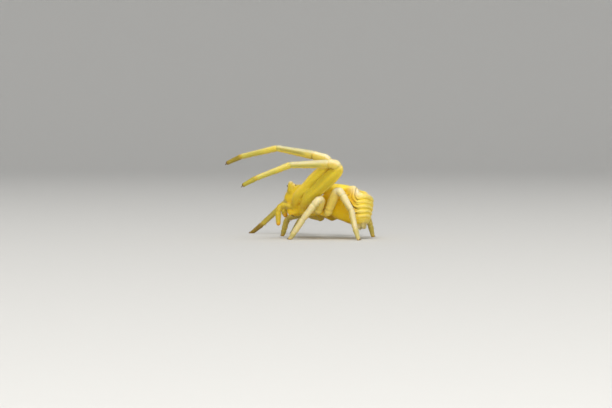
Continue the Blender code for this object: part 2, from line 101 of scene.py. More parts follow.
FURROWS = 6.0                       # spaces between its furrows in half a turn round it
FURROW_DEPTH = 0.045
FLANK_SPOT = ((-1.22, -3.00, 3.94), (-1.76, -1.00, 3.88))   # through the dark spot on the left
CARAPACE_EDGE = 3.02                # height of the rim of the carapace
CARAPACE_SLOPE = 0.16               # how much the rim rises backwards
RIM_HEIGHT = 0.05                   # of the rim, and depth of the groove under it

# Abdomen: side outline as (x, z, rows to the next point), clockwise from the front top
ABDOMEN_OUTLINE = (
    (0.72, 4.82, 3), (1.75, 4.84, 3), (2.75, 4.65, 3), (3.40, 4.33, 3), (3.92, 4.02, 5),
    (4.48, 3.76, 7), (4.62, 3.12, 7), (4.57, 2.40, 7), (4.48, 1.75, 5), (4.20, 1.28, 3),
    (3.60, 1.08, 3), (2.85, 1.24, 3), (2.10, 1.50, 3), (1.20, 1.88, 3), (0.50, 2.45, 3),
    (0.18, 3.25, 3), (0.24, 4.20, 3),
)
ABDOMEN_CENTRE = (2.55, 2.90)
ABDOMEN_TURN = math.radians(-6.0)   # the abdomen swings to the left about the waist
WAIST_X = 0.30
ABDOMEN_FULLNESS = 2.9
ABDOMEN_COLUMNS = 120
ABDOMEN_ROWS = 3
ABDOMEN_FRONT = (0.90, 1.30)        # x and half width of its narrow front
ABDOMEN_REAR = (3.75, 2.00)
HUMP_PLACE = (3.50, 1.56, 4.24)     # the corner hump on each side of the back
HUMP_HEIGHT = 0.62
HUMP_SPREAD = 0.53
# The streak is partly the hump's own pale colour and partly a painted highlight.
HUMP_PALE_AND_HIGHLIGHT = ((3.50, 1.56, 4.26), (3.90, 1.58, 3.92))     # the white streak over its rear slope
FOLD_VALLEYS = (3.74, 3.12, 2.69, 2.26, 1.85, 1.42, 1.23, 1.02)     # heights at the corners
FOLD_HEIGHTS = (0.90, 0.40, 0.60, 0.85, 0.75, 0.45, 0.45)           # of the folds between
FOLD_ARCH = 0.30                    # how much higher a fold is in the middle of the rear
FOLD_CORNER = (3.98, 1.75)          # x and y where the folds turn from the rear to the flank
WRINKLE_HEIGHT = 0.036              # of the finer wrinkles on the folds
SHOULDER = (0.85, 1.22, 4.54)       # front end of the ridge that runs to each hump
SHOULDER_END = (3.45, 1.66, 4.30)
RIDGE_HEIGHT = 0.12
RIDGE_LUMPS = 0.03
HOLLOW_DEPTH = 0.09                 # of the hollow under the ridge
HOLLOW_SHIFT = (0.1, 0.12, -0.50)   # from the ridge to the hollow
MUSCLE_PITS = (      # on the back, and the last one on the flank
    (1.75, 0.50, 4.80), (2.35, 0.62, 4.72), (2.95, 0.72, 4.60), (3.09, 1.77, 3.58),
)
PIT_DEPTH = 0.05
SADDLE_DEPTH = 0.05                 # of the shallow channel along the middle of the back
CREASE_PITCH = 0.62                 # from crease to crease across the back
CREASE_DEPTH = 0.018
SPINNERET_PLACES = ((3.62, 0.24), (4.02, 0.20))      # x and distance from the middle
SPINNERET_TOP = 1.36
SPINNERET_LENGTHS = (0.62, 0.56)
SPINNERET_RADII = (0.26, 0.17)
SPINNERET_RING = 0.13               # from ring to ring round a spinneret
SPINNERET_RING_HEIGHT = 0.018
PEDICEL_ENDS = ((1.4, 0.0, 3.0), (-0.6, 0.0, 2.9))
PEDICEL_RADIUS = 0.34

# Mouthparts, in the body's frame, for the left side
JAW_TOP = (-2.80, 0.46, 3.25)
JAW_BOTTOM = (-2.72, 0.44, 1.93)
JAW_RADII = (0.42, 0.36)
MAXILLA_TOP = (-2.20, 0.46, 2.80)
MAXILLA_BOTTOM = (-2.36, 0.42, 2.00)
MAXILLA_RADII = (0.44, 0.30)
JAW_FLATNESS = 0.80
FANG_LENGTH = 0.22
FANG_RADIUS = 0.08
PALP_JOINTS = {
    -1: ((-2.30, 0.90, 2.62), (-3.12, 1.08, 2.76), (-3.56, 1.15, 2.73), (-3.75, 1.15, 2.15),
         (-3.65, 1.12, 0.90)),
    1: ((-2.30, 0.90, 2.62), (-3.12, 1.12, 2.90), (-3.62, 1.24, 2.98), (-3.88, 1.24, 2.62),
        (-3.58, 1.02, 2.02)),
}
PALP_RADII = (0.25, 0.25, 0.25, 0.27, 0.19)
PALP_BEND = 0.28
PALP_SIDES = 20
PALP_STEPS = (0.10, 0.035)          # from ring to ring, between joints and at one

# Legs: roots inside the prosoma, in the body's frame for the left side, front to back
LEG_ROOTS = ((-2.00, 0.60, 2.72), (-1.40, 0.70, 2.55), (-0.75, 0.75, 2.35), (-0.20, 0.70, 2.30))

# Legs: trochanter, knee, end of the patella, of the tibia and of the metatarsus, and tip
LEG_JOINTS = {
    "left_1": ((-2.22, -1.60, 3.35), (1.70, -2.40, 6.95), (-0.19, -2.45, 7.51),
               (-3.46, -2.65, 8.12), (-6.78, -2.75, 7.35), (-8.20, -2.65, 6.72)),
    "left_2": ((-1.14, -2.30, 3.27), (3.13, -3.60, 6.82), (1.54, -3.80, 6.75),
               (-1.75, -4.50, 6.65), (-4.65, -5.30, 5.48), (-5.83, -5.70, 4.80)),
    "left_3": ((0.10, -1.85, 2.41), (1.03, -3.50, 4.15), (0.18, -3.50, 3.09),
               (-0.80, -3.60, 1.82), (-1.57, -3.65, 0.68), (-2.02, -3.70, 0.00)),
    "left_4": ((0.92, -1.75, 2.19), (2.22, -2.96, 4.71), (2.70, -3.05, 3.93),
               (3.55, -3.30, 2.65), (3.95, -3.55, 1.09), (4.32, -3.65, 0.00)),
    "right_1": ((-2.05, 1.60, 2.80), (-3.45, 5.90, 4.26), (-4.30, 7.00, 3.90),
                (-5.92, 9.10, 2.90), (-8.15, 8.95, 0.86), (-9.20, 8.90, 0.00)),
    "right_2": ((-1.15, 1.80, 2.65), (1.20, 5.60, 3.89), (0.02, 6.10, 3.78),
                (-2.95, 7.30, 3.06), (-4.62, 8.82, 1.00), (-5.42, 9.60, 0.00)),
    "right_3": ((-0.35, 1.60, 1.78), (-2.29, 2.95, 2.20), (-2.95, 3.05, 2.00),
                (-4.17, 3.30, 1.66), (-4.47, 3.36, 0.60), (-4.63, 3.40, 0.00)),
    "right_4": ((0.72, 1.50, 1.75), (1.55, 2.97, 4.09), (2.20, 3.10, 3.55),
                (3.16, 3.35, 2.80), (3.62, 3.52, 1.05), (3.85, 3.60, 0.00)),
}
# Radius at the root, trochanter, start and middle of the femur, knee, end of the patella,
# end of the tibia, end of the metatarsus and tip
FRONT_LEG_RADII = (0.30, 0.43, 0.52, 0.55, 0.45, 0.38, 0.28, 0.23, 0.18)
REAR_LEG_RADII = (0.30, 0.30, 0.36, 0.39, 0.32, 0.32, 0.26, 0.25, 0.17)
FEMUR_PLACES = (0.16, 0.60)         # where its start and middle are, as shares of its length
RAISED_FEMUR_FACE = (0.24, -0.96, -0.12)    # the way that its flat outer side looks
FRONT_BENDS = (0.50, 0.55, 0.90, 1.20, 0.90)     # radius of the centre line at each joint
REAR_BENDS = (0.40, 0.42, 0.90, 0.80, 0.60)
KNEE_TRIM_SHARE = 0.80              # how much of a short span a bend may take up
PATH_STEP = 0.05                    # from point to point of a centre line
PATH_TURN = math.radians(4.0)
RING_STEPS = (0.19, 0.045)          # from ring to ring, between joints and at one
JOINT_REACH = (0.10, 0.45)          # rings are closest this near a joint, and widest this far
GROOVE_WIDTH = 0.065                # half width of the groove at a joint
SWELLING = (0.30, 0.20, 0.12)       # beside it: share of its depth, distance and half width
LEG_SIDES = {True: 32, False: 20}   # of a front leg and of a hind one
LEG_MOTTLE = (1.0, 0.25, 1.0, 0.5)  # how dark the marks are, on the legs from front to back
STANDING = 0.01                     # a leg whose tip is lower than this stands on the floor
BARE_FEET = (0.24, 0.50)            # no hair below the first height, all of it above the second
SEAM_SPREAD = 7                     # rows of points on each side of a seam that are smoothed
SEAM_FADE = 0.80                    # from one of those rows to the next
CLAW_LENGTH = 0.24
CLAW_RADIUS = 0.055
CLAW_SPREAD = 0.07                  # from the middle of the tip to each claw
CLAW_SET_BACK = 0.14                # how far behind the tip of a raised leg its claws begin
STANDING_CLAW = (0.10, 0.55)        # of a standing leg: height of its root, share of the length
HOOK_RINGS = 12                     # rings and sides of a claw or a fang
HOOK_SIDES = 10
SPINE_PAIRS = {True: (4, 6), False: (2, 2)}     # under tibia and metatarsus, front and hind
SPINE_SLIMNESS = 0.075              # a spine's radius as a share of its length
SPINE_SPREAD = 0.55                 # how far a pair spreads, and how far it leans ahead
SPINE_LEAN = 0.9
ROOT_DEPTH = 0.03                   # how deep a spine's root is in the skin
SLIVER = 0.0008                     # an edge of the joined skin that is shorter is closed up
TUFT_PATCH = 0.003                  # width of a hair's own patch on the map for the bake
HAIR_LIE = 0.9                      # how far a hair lies down, and how far it strays
HAIR_STRAY = 0.25
HAIR_SHORTEST = 0.45                # the shortest hair, as a share of the longest
BLADE_TIP = 0.12                    # tip of a hair or spine, as a share of its root
BLADE_DROOP = 0.30                  # how far its tip droops, as a share of its length

# Finishes: colours, and the width of blotches and warts
CUTICLE_SHADE = (0.90, 0.86, 0.6)   # how much of each channel is left in the darker blotches
MOTTLE_SIZES = (0.9, 0.16)          # of the broad and the fine mottle
MOSS_BLOTCH = (0.32, 0.24)          # width, and how green the greenest is
WART = (0.15, 0.14)                 # width, and how pale its top is
WART_HEIGHT = 0.6                   # beside the height of the grain
GRAIN_SIZE = 0.07
RELIEF_DEPTH = 0.018                # of grain and warts together
GLOW_DEPTH = 0.16                   # how deep light goes into the skin, and how far by channel
GLOW_REACH = (1.0, 0.62, 0.18)
HAIR_PALENESS = 0.35                # share of chalk in a hair's colour
CLAW_BLACK = (0.05, 0.02, 0.006)
LENS_BLACK = (0.004, 0.003, 0.003)
PAPER_SHADE = 0.985                 # of the floor's darker blotches

# The stage, in metres
FLOOR_RADIUS = 0.34
FLOOR_RINGS = (0.02, 0.1, 0.3, 0.6, 0.85, 1.0)              # shares of that radius
FLOOR_SIDES = 96
WALL_BEND = 0.26                    # radius of the curve from the floor to the wall
WALL_BEND_STEPS = 12
WALL_HEIGHT = 0.30
KEY_LIGHT = ((0.03, -0.17, 0.42), 0.30, (1.0, 0.98, 0.94))  # place, width and colour
FILL_LIGHT = ((0.13, -0.32, 0.10), 0.22, (1.0, 0.99, 0.97))
LIGHTS_AIM = (0.0, 0.0, 0.004)
ROOM_COLOUR = (0.95, 0.97, 1.0)

# The photograph's camera
PIXEL = 0.09                        # millimetres a pixel at the spider
CAMERA_AZIMUTH = math.radians(15.0)
CAMERA_ELEVATION = math.radians(1.7)
CAMERA_DISTANCE = 254.0
IMAGE_WIDTH = 612
IMAGE_MIDDLE = (306.0, 204.0)
IMAGE_ORIGIN = (322.0, 238.2)       # pixel of the middle of the body's frame, at z = 0
SENSOR_WIDTH = 36.0


class SkinSizes(PropertyGroup):
    fold_depth: FloatProperty(
        name="Fold depth", description="Height of the tallest fold over the valley beside it",
        default=0.00015, min=0.0, unit="LENGTH", precision=5)
    joint_groove: FloatProperty(
        name="Joint groove", description="Depth of the groove at a joint, as a share of the radius",
        default=0.13, min=0.0, max=0.4)
    seam_rounds: IntProperty(
        name="Seam smoothing", description="Rounds of smoothing where two forms run together",
        default=26, min=0, max=60)


class SkinColours(PropertyGroup):
    cuticle: FloatVectorProperty(
        name="Cuticle", description="Yellow of the body", subtype="COLOR",
        default=(0.86, 0.59, 0.010))
    lemon: FloatVectorProperty(
        name="Lemon", description="Light yellow of the abdomen's back and folds",
        subtype="COLOR", default=(0.98, 0.73, 0.055))
    cream: FloatVectorProperty(
        name="Cream", description="Pale yellow of the legs", subtype="COLOR",
        default=(0.60, 0.51, 0.235))
    # Chalk also paints the highlights on the tops of the legs and on each hump.
    chalk: FloatVectorProperty(
        name="Chalk", description="Near white of the horns and humps", subtype="COLOR",
        default=(0.90, 0.87, 0.75))
    amber: FloatVectorProperty(
        name="Amber", description="Orange of the flanks, valleys and tips", subtype="COLOR",
        default=(0.84, 0.37, 0.004))
    moss: FloatVectorProperty(
        name="Moss", description="Grey green that shows through the clear cuticle",
        subtype="COLOR", default=(0.40, 0.38, 0.055))
    umber: FloatVectorProperty(
        name="Umber", description="Brown of the joint lines and tips", subtype="COLOR",
        default=(0.19, 0.10, 0.016))


class HairSizes(PropertyGroup):
    length: FloatProperty(
        name="Hair length", description="Length of the longest fine hair",
        default=0.00026, min=0.00005, unit="LENGTH", precision=5)
    radius: FloatProperty(
        name="Hair radius", description="Radius of a fine hair at its root",
        default=0.0000085, min=0.000002, unit="LENGTH", precision=6)
    density: FloatProperty(
        name="Hair density", description="Fine hairs on a square millimetre of a leg",
        default=32.0, min=0.0)
    spine_length: FloatProperty(
        name="Spine length", description="Length of a spine under a front leg",
        default=0.00030, min=0.00005, unit="LENGTH", precision=5)
    seed: IntProperty(name="Seed", description="Draw of the hairs' places", default=7)


class EyeLooks(PropertyGroup):
    bulge: FloatProperty(
        name="Bulge", description="How far an eye stands out, as a share of its radius",
        default=-0.30, min=-0.5, max=0.9)
    colour: FloatVectorProperty(
        name="Lens colour", description="Colour deep in the lens", subtype="COLOR",
        default=(0.030, 0.014, 0.006))


class StageLooks(PropertyGroup):
    floor_colour: FloatVectorProperty(
        name="Floor colour", description="Colour of the floor and its rounded wall",
        subtype="COLOR", default=(0.60, 0.595, 0.58))
    key_power: FloatProperty(
        name="Key light", description="Power of the large light above", default=1.34,
        min=0.0, unit="POWER")
    fill_power: FloatProperty(
        name="Fill light", description="Power of the light beside the camera", default=0.68,
        min=0.0, unit="POWER")
    sky: FloatProperty(
        name="Room light", description="Strength of the even light of the room", default=0.54,
        min=0.0)


# Numbers and points

def smooth(value, low, high):
    """0 below low, 1 above high and an even rise between them."""
    share = np.clip((value - low) / (high - low), 0.0, 1.0)
    return share * share * (3.0 - 2.0 * share)


def band(value, start, end, soft):
    """1 between start and end, falling to 0 on both sides."""
    return smooth(value, start - soft, start + soft) * (1.0 - smooth(value, end - soft, end + soft))


def mound(distance, width):
    return np.exp(-(distance / width) ** 2)


def unit(vectors):
    return vectors / np.maximum(np.linalg.norm(vectors, axis=-1, keepdims=True), 1e-9)


def ripple(points, pitch, turn):
    """An uneven wave over space, from -1 to 1."""
    x, y, z = (points / pitch).T * math.tau
    wave = np.sin(x + 1.3 * np.sin(0.7 * y + turn)) + np.sin(1.1 * y + 1.7 * np.sin(0.8 * z - turn))
    return (wave + np.sin(0.9 * z + 1.1 * np.sin(0.6 * x + 2.0 * turn))) / 3.0


def mirrored(point, side):
    """A point given for one side, on the left for side -1 and on the right for 1."""
    return np.array((point[0], side * point[1], point[2]))


def to_segment(points, start, end):
    """Distance of each point to the line from start to end."""
    start, end = np.array(start), np.array(end)
    along = end - start
    share = np.clip((points - start) @ along / (along @ along), 0.0, 1.0)
    return np.linalg.norm(points - start - share[:, None] * along, axis=1)


def leaned(points):
    """Points of the body's own frame, placed as the body leans."""
    points = np.asarray(points, float)
    cosine, sine = math.cos(LEAN), math.sin(LEAN)
    turn = np.array(((1.0, 0.0, 0.0), (0.0, cosine, sine), (0.0, -sine, cosine)))
    pivot = np.array((0.0, 0.0, LEAN_HEIGHT))
    return (points - pivot) @ turn.T + pivot


# Shells: the closed forms that are joined to one skin

class Shell:
    """One closed form: points, triangles, and marks that say how each point is coloured.

    softness is how far its seams with other shells are smoothed, from 0 to 1.
    """

    def __init__(self, points, triangles, atlas):
        self.points = points
        self.atlas = atlas
        corners = points[triangles]
        volume = np.einsum("ij,ij->", corners[:, 0], np.cross(corners[:, 1], corners[:, 2]))
        self.triangles = triangles if volume > 0.0 else triangles[:, ::-1]
        self.marks = {name: np.zeros(len(points)) for name in MARKS}
        self.softness = 1.0
        self.lay((1.0, 0.0, -0.3))

    def normals(self):
        corners = self.points[self.triangles]
        facing = np.cross(corners[:, 1] - corners[:, 0], corners[:, 2] - corners[:, 0])
        total = np.zeros_like(self.points)
        for corner in range(3):
            np.add.at(total, self.triangles[:, corner], facing)
        return unit(total)

    def raise_by(self, height):
        self.points = self.points + self.normals() * height[:, None]

    def lay(self, way):
        """Let the hairs lie along one way."""
        self.lie = np.tile(way, (len(self.points), 1))

    def mark(self, **strengths):
        for name, strength in strengths.items():
            self.marks[name] = np.clip(self.marks[name] + strength, 0.0, 1.0)


def shell_of_rings(rings, start, end):
    """A closed form through rings of points, shut by a fan to a point at each end."""
    count, sides = rings.shape[:2]
    points = np.concatenate((rings.reshape(-1, 3), (start, end)))
    side = np.arange(sides)
    near = (side + 1) % sides
    first = np.arange(count - 1)[:, None] * sides
    a, b = first + side, first + near
    c, d = b + sides, a + sides
    last = (count - 1) * sides
    triangles = np.concatenate((
        np.stack((a, b, c), -1).reshape(-1, 3),
        np.stack((a, c, d), -1).reshape(-1, 3),
        np.stack((near, side, np.full(sides, count * sides)), -1),
        np.stack((last + side, last + near, np.full(sides, count * sides + 1)), -1),
    ))
    along = np.repeat((np.arange(count) + 0.5) / count, sides)
    around = np.tile(side / sides, count)
    atlas = np.stack((np.append(around, (0.5, 0.5)), np.append(along, (0.0, 1.0))), -1)
    return Shell(points, triangles, atlas)


def closed_outline(points, rows_each):
    """Points on a smooth closed curve through (x, z)."""
    count = len(points)
    curve = []
    for index in range(count):
        before, start, end, after = (np.array(points[(index + step) % count][:2])
                                     for step in (-1, 0, 1, 2))
        rows = points[index][2] * rows_each
        for row in range(rows):
            t = row / rows
            curve.append(0.5 * ((2.0 * start) + (end - before) * t
                                + (2.0 * before - 5.0 * start + 4.0 * end - after) * t * t
                                + (3.0 * start - before - 3.0 * end + after) * t ** 3))
    return np.array(curve)


def boxed_circle(turn, fullness):
    """Reach and height at each turn of half a circle, boxier for a fullness above 2."""
    power = 2.0 / fullness
    return np.sin(turn) ** power, np.sign(np.cos(turn)) * np.abs(np.cos(turn)) ** power


def body_shell(outline, rows_each, centre, fullness, columns, half_width):
    """A closed body with the side outline, as wide at each place as half_width says."""
    edge = closed_outline(outline, rows_each)
    middle = np.array(centre)
    fine = np.linspace(0.0, math.pi, FINE_STEPS)
    steps = np.hypot(*(np.diff(side) for side in boxed_circle(fine, fullness)))
    length = np.concatenate(((0.0,), np.cumsum(steps)))
    turn = np.interp(np.arange(1, columns) / columns * length[-1], length, fine)
    reach, across = boxed_circle(turn, fullness)
    flat = middle + (edge - middle)[None] * reach[:, None, None]
    width = half_width(flat[..., 0], flat[..., 1])
    rings = np.stack((flat[..., 0], -across[:, None] * width, flat[..., 1]), -1)
    poles = [(centre[0], side * float(half_width(*middle)), centre[1]) for side in SIDES]
    return shell_of_rings(rings, *poles)


def tube_shell(centres, radii, sides, sole=False, across=UP, fullness=2.0):
    """A closed tube round a line of centres.

    sole turns its last rings level with the floor. Its section is an ellipse for a fullness
    of 2 and boxier above that, with a flat side towards across.
    """
    along = unit(np.gradient(centres, axis=0))
    across = unit(np.array(across, float))
    if abs(across @ along[0]) > 0.9:
        across = np.array((0.0, 1.0, 0.0))
    angle = math.tau * np.arange(sides) / sides
    power = np.broadcast_to(fullness, len(centres))
    to_end = np.linalg.norm(centres - centres[-1], axis=1)
    level = 1.0 - smooth(to_end, 0.05, 2.2 * radii[-1])
    rings = []
    for centre, radius, ahead, share, full in zip(centres, radii, along, level, power):
        across = unit(across - ahead * (across @ ahead))
        other = np.cross(ahead, across)
        reach = radius * (np.abs(np.cos(angle)) ** full + np.abs(np.sin(angle)) ** full) ** (-1.0 / full)
        spokes = np.cos(angle)[:, None] * across + np.sin(angle)[:, None] * other
        ring = centre + reach[:, None] * spokes
        if sole and share > 0.0:
            ring = ring - share * ((ring[:, 2] - centre[2]) / ahead[2])[:, None] * ahead
        rings.append(ring)
    return shell_of_rings(np.array(rings), centres[0], centres[-1])


def tapered_shell(start, end, radii, sides=16, step=0.05):
    """A straight cone with a round tip."""
    start, end = np.array(start, float), np.array(end, float)
    length = float(np.linalg.norm(end - start))
    # Rings crowd together over the round tip
    places = np.append(np.arange(0.0, length - radii[1], step),
                       length - radii[1] * (1.0 - np.sin(np.linspace(0.0, 1.45, 6))))
    size = radii[0] + (radii[1] - radii[0]) * places / length
    tip = np.clip((places - length + radii[1]) / radii[1], 0.0, 1.0)
    size = size * np.sqrt(1.0 - 0.985 * tip * tip)
    centres = start + np.outer(places / length, end - start)
    return tube_shell(centres, size, sides)


# Prosoma

def prosoma_half_width(x, z):
    """Half its width at each place, less at the face, at the back and low down."""
    back = smooth(x, -0.9, 0.6)
    front = smooth(-x, 1.6, 3.0)
    width = THORAX_HALF_WIDTH + (FACE_HALF_WIDTH - THORAX_HALF_WIDTH) * front
    low = smooth(-z, -2.9, -1.9)
    return width * (1.0 - 0.45 * back) * (1.0 - 0.35 * low)


def plain_prosoma():
    return body_shell(PROSOMA_OUTLINE, PROSOMA_ROWS, PROSOMA_CENTRE, PROSOMA_FULLNESS,
                      PROSOMA_COLUMNS, prosoma_half_width)


def plain_brow_points(side):
    """The horn at one corner of the brow, and the low knob behind it."""
    return [tapered_shell(mirrored(root, side), mirrored(tip, side), radii, BROW_POINT_SIDES)
            for root, tip, radii in BROW_POINTS]


def eye_seats():
    """Centre, outward direction and radius of each eye, in the body's frame."""
    points, triangles = merged([plain_prosoma(), *plain_brow_points(-1), *plain_brow_points(1)])
    tree = BVHTree.FromPolygons([Vector(point) for point in points], triangles.tolist())
    seats = []
    for side in SIDES:
        for through, behind, radius in EYES:
            middle = Vector(mirrored(behind, side))
            direction = (Vector(mirrored(through, side)) - middle).normalized()
            seat, normal = tree.ray_cast(middle + direction * EYE_SEARCH, -direction)[:2]
            seats.append((np.array(seat), np.array(normal), radius))
    return seats


def eye_relief(points):
    """How much the skin rises at each point towards an eye, and the pale ring round the eye."""
    height, ring = np.zeros(len(points)), np.zeros(len(points))
    for seat, _, radius in eye_seats():
        off = np.linalg.norm(points - seat, axis=1)
        height += EYE_STAND * mound(off, 1.7 * radius)
        ring = np.maximum(ring, band(off, 0.6 * radius, 1.6 * radius, 0.4 * radius))
    return height, ring


def prosoma_shell():
    shell = plain_prosoma()
    points = shell.points
    x, y, z = points.T
    wide = np.abs(y)
    top = smooth(z, CARAPACE_EDGE, CARAPACE_EDGE + 0.5)
    slope = CARAPACE_SLOPE * (x + 1.4)
    rim = mound(z - CARAPACE_EDGE - slope, 0.09) * smooth(wide, 0.5, 0.9)
    height = RIM_HEIGHT * rim - RIM_HEIGHT * mound(z - CARAPACE_EDGE + 0.17 - slope, 0.08)
    pit = np.linalg.norm(points - FOVEA, axis=1)
    height -= FOVEA_DEPTH * mound(pit, 0.30)
    behind = x - FOVEA[0]
    spread = np.arctan2(wide, behind + 1e-6)
    furrow = np.cos(spread * FURROWS) ** 8 * band(np.hypot(wide, behind), 0.35, 1.35, 0.25)
    height -= FURROW_DEPTH * furrow * top
    brow = to_segment(points, *BROW)
    height += BROW_HEIGHT * mound(brow, 0.20)
    height += 0.010 * ripple(points, 0.55, 1.0) * top
    eye_rise, eye_ring = eye_relief(points)
    height += eye_rise
    face = smooth(-x, 2.4, 3.0)
    shell.raise_by(height)
    shell.mark(
        lemon=0.22 + 0.25 * rim + 0.30 * mound(brow, 0.35),
        chalk=0.50 * mound(brow, 0.17) + 0.6 * eye_ring,
        amber=0.10 * (1.0 - smooth(z, 2.2, 3.4)) + 0.20 * mound(pit, 0.5),
        moss=0.20 * top * smooth(x, -3.2, -1.6) + 0.14 * face,
        umber=0.20 * mound(pit, 0.16) + 0.07 * face,
        fur=0.30 + 0.3 * top,
    )
    shell.lay((-1.0, 0.0, 0.3))
    return shell


def brow_point_shells(side):
    """The horn and the knob, pale towards their tips."""
    for shell, (root, tip, _) in zip(plain_brow_points(side), BROW_POINTS):
        root, tip = mirrored(root, side), mirrored(tip, side)
        share = np.clip((shell.points - root) @ (tip - root) / ((tip - root) @ (tip - root)), 0.0, 1.0)
        eye_rise, eye_ring = eye_relief(shell.points)
        shell.raise_by(eye_rise + 0.012 * ripple(shell.points, 0.5, 2.0))
        shell.softness = 0.45
        shell.mark(chalk=0.34 * smooth(share, 0.75, 0.95) + 0.5 * eye_ring, moss=0.36, umber=0.08,
                   lemon=0.5 * smooth(share, 0.45, 0.85), fur=0.3)
        yield shell


# Abdomen

def abdomen_half_width(x, z):
    """Half its width at each place, more towards the rear and less low down."""
    (front, narrow), (rear, wide) = ABDOMEN_FRONT, ABDOMEN_REAR
    width = narrow + (wide - narrow) * np.minimum((x - front) / (rear - front), 1.0)
    low = smooth(-z, -3.4, -1.0)
    return width * (1.0 - 0.38 * low)


def abdomen_turned(points):
    """Points of the abdomen, swung about the waist in the body's frame."""
    turn = Matrix.Rotation(ABDOMEN_TURN, 3, "Z")
    waist = np.array((WAIST_X, 0.0, 0.0))
    return (points - waist) @ np.array(turn).T + waist


def abdomen_shell(sizes):
    shell = body_shell(ABDOMEN_OUTLINE, ABDOMEN_ROWS, ABDOMEN_CENTRE, ABDOMEN_FULLNESS,
                       ABDOMEN_COLUMNS, abdomen_half_width)
    points = shell.points
    x, y, z = points.T
    wide = np.abs(y)
    folded = np.stack((x, wide, z), -1)
    off_hump = np.linalg.norm(folded - HUMP_PLACE, axis=1)
    hump = mound(off_hump, HUMP_SPREAD)
    off_pale_and_highlight = to_segment(folded, *HUMP_PALE_AND_HIGHLIGHT)

    # Folds: arched across the rear, and climbing forwards to the hump on each flank
    corner_x, corner_y = FOLD_CORNER
    steep = 0.15 + 0.90 * smooth(z, 2.1, 2.9) + 0.9 * smooth(z, 3.2, 3.8)
    climb = steep * np.maximum(corner_x - x, 0.0)
    arch = FOLD_ARCH * np.maximum(1.0 - (wide / corner_y) ** 2, 0.0)
    level = z - climb - arch + 0.030 * np.sin(1.9 * y + 2.4 * z) + 0.018 * np.sin(5.1 * y - 3.0 * z)
    count = np.interp(level, FOLD_VALLEYS[::-1], np.arange(len(FOLD_VALLEYS))[::-1])
    wave = np.abs(np.sin(math.pi * count)) ** 0.55
    tall = np.interp(count, np.arange(len(FOLD_HEIGHTS)) + 0.5, FOLD_HEIGHTS)
    rear = smooth(x, 3.60, 4.00) * smooth(z, 1.05, 1.35)
    flank = band(x, 3.30, 4.10, 0.16) * smooth(wide, 1.0, 1.4) * band(z, 1.8, 4.1, 0.25)
    folds = np.maximum(rear, 1.25 * flank) * smooth(count, -0.02, 0.1)
    folds = folds * (1.0 - 0.9 * mound(off_hump, 0.42))
    wrinkle = np.sin(math.tau * (2.0 * count + 0.30 * np.sin(3.1 * y + 2.0 * z) + 0.2 * np.sin(7.0 * x + y)))
    height = HUMP_HEIGHT * hump + (sizes.fold_depth / MM) * folds * tall * (wave - 0.5)
    height += WRINKLE_HEIGHT * wrinkle * folds * (0.3 + 0.7 * flank)

    # The ridge from shoulder to hump, the hollow under it, and the pits of the muscles
    ridge = mound(to_segment(folded, SHOULDER, SHOULDER_END), 0.24)
    hollow_ends = [np.array(end) + HOLLOW_SHIFT for end in (SHOULDER, SHOULDER_END)]
    hollow = mound(to_segment(folded, *hollow_ends), 0.24)
    height += RIDGE_HEIGHT * ridge - HOLLOW_DEPTH * hollow + RIDGE_LUMPS * ridge * np.sin(6.4 * x + 1.2)
    pits = np.zeros(len(points))
    for pit in MUSCLE_PITS:
        off = np.linalg.norm(folded - pit, axis=1)
        height -= PIT_DEPTH * mound(off, 0.11)
        pits = np.maximum(pits, mound(off, 0.12))
    upper = smooth(z, 3.9, 4.4)
    saddle = mound(wide, 0.35) * upper
    height -= SADDLE_DEPTH * saddle * band(x, 1.2, 3.6, 0.4)
    creases = mound(np.sin(math.tau * (x + 0.12 * wide ** 2) / CREASE_PITCH), 0.35)
    height -= CREASE_DEPTH * (creases * upper * band(x, 1.5, 3.6, 0.3))
    height += 0.012 * ripple(points, 0.75, 0.0)
    shell.raise_by(height)

    valley = folds * (1.0 - smooth(wave, 0.30, 0.72)) * smooth(tall, 0.1, 0.9)
    low_flank = flank * (1.0 - smooth(z, 3.2, 3.7))
    crest = folds * smooth(wave, 0.70, 0.98)
    back = smooth(x, 3.6, 4.1)
    low = 1.0 - smooth(z, 1.2, 2.1)
    side_of_body = smooth(wide, 0.9, 1.4) * (1.0 - upper) * (1.0 - back)
    # Painted shade: the amber at the front of the abdomen and in the hollow under the ridge, and the lemon
    # taken out of that hollow.
    shell.mark(
        lemon=0.90 * back + 0.95 * ridge + 0.95 * upper + 0.50 * hump + 0.25 * flank - 0.30 * valley
        - 0.45 * hollow,
        cream=0.08 * crest * back + 0.28 * hump + 0.08 * ridge + 0.12 * back - 0.12 * valley,
        # The chalk streak on each hump is partly its pale colour and partly a painted highlight.
        chalk=0.90 * mound(off_pale_and_highlight, 0.34) + 0.16 * crest * back * tall,
        amber=0.16 * side_of_body + 0.22 * hollow * (1.0 - hump) + 0.30 * valley + 0.20 * low_flank
        + 0.20 * low * (1.0 - back) + 0.30 * (1.0 - smooth(x, 0.5, 1.0)),
        moss=0.26 * low * back + 0.25 * pits + 0.24 * valley * back,
        umber=0.55 * pits + 0.22 * valley + 0.08 * flank + 0.58 * valley * flank + 0.14 * low * back
        + 0.24 * flank * smooth(-wrinkle, 0.1, 0.9),
        fur=0.20,
    )
    shell.lay((1.0, 0.0, -0.2))
    shell.points = abdomen_turned(shell.points)
    return shell


def waist_shell():
    shell = tapered_shell(*PEDICEL_ENDS, (PEDICEL_RADIUS, PEDICEL_RADIUS))
    shell.points = abdomen_turned(shell.points)
    shell.mark(amber=0.7)
    return shell


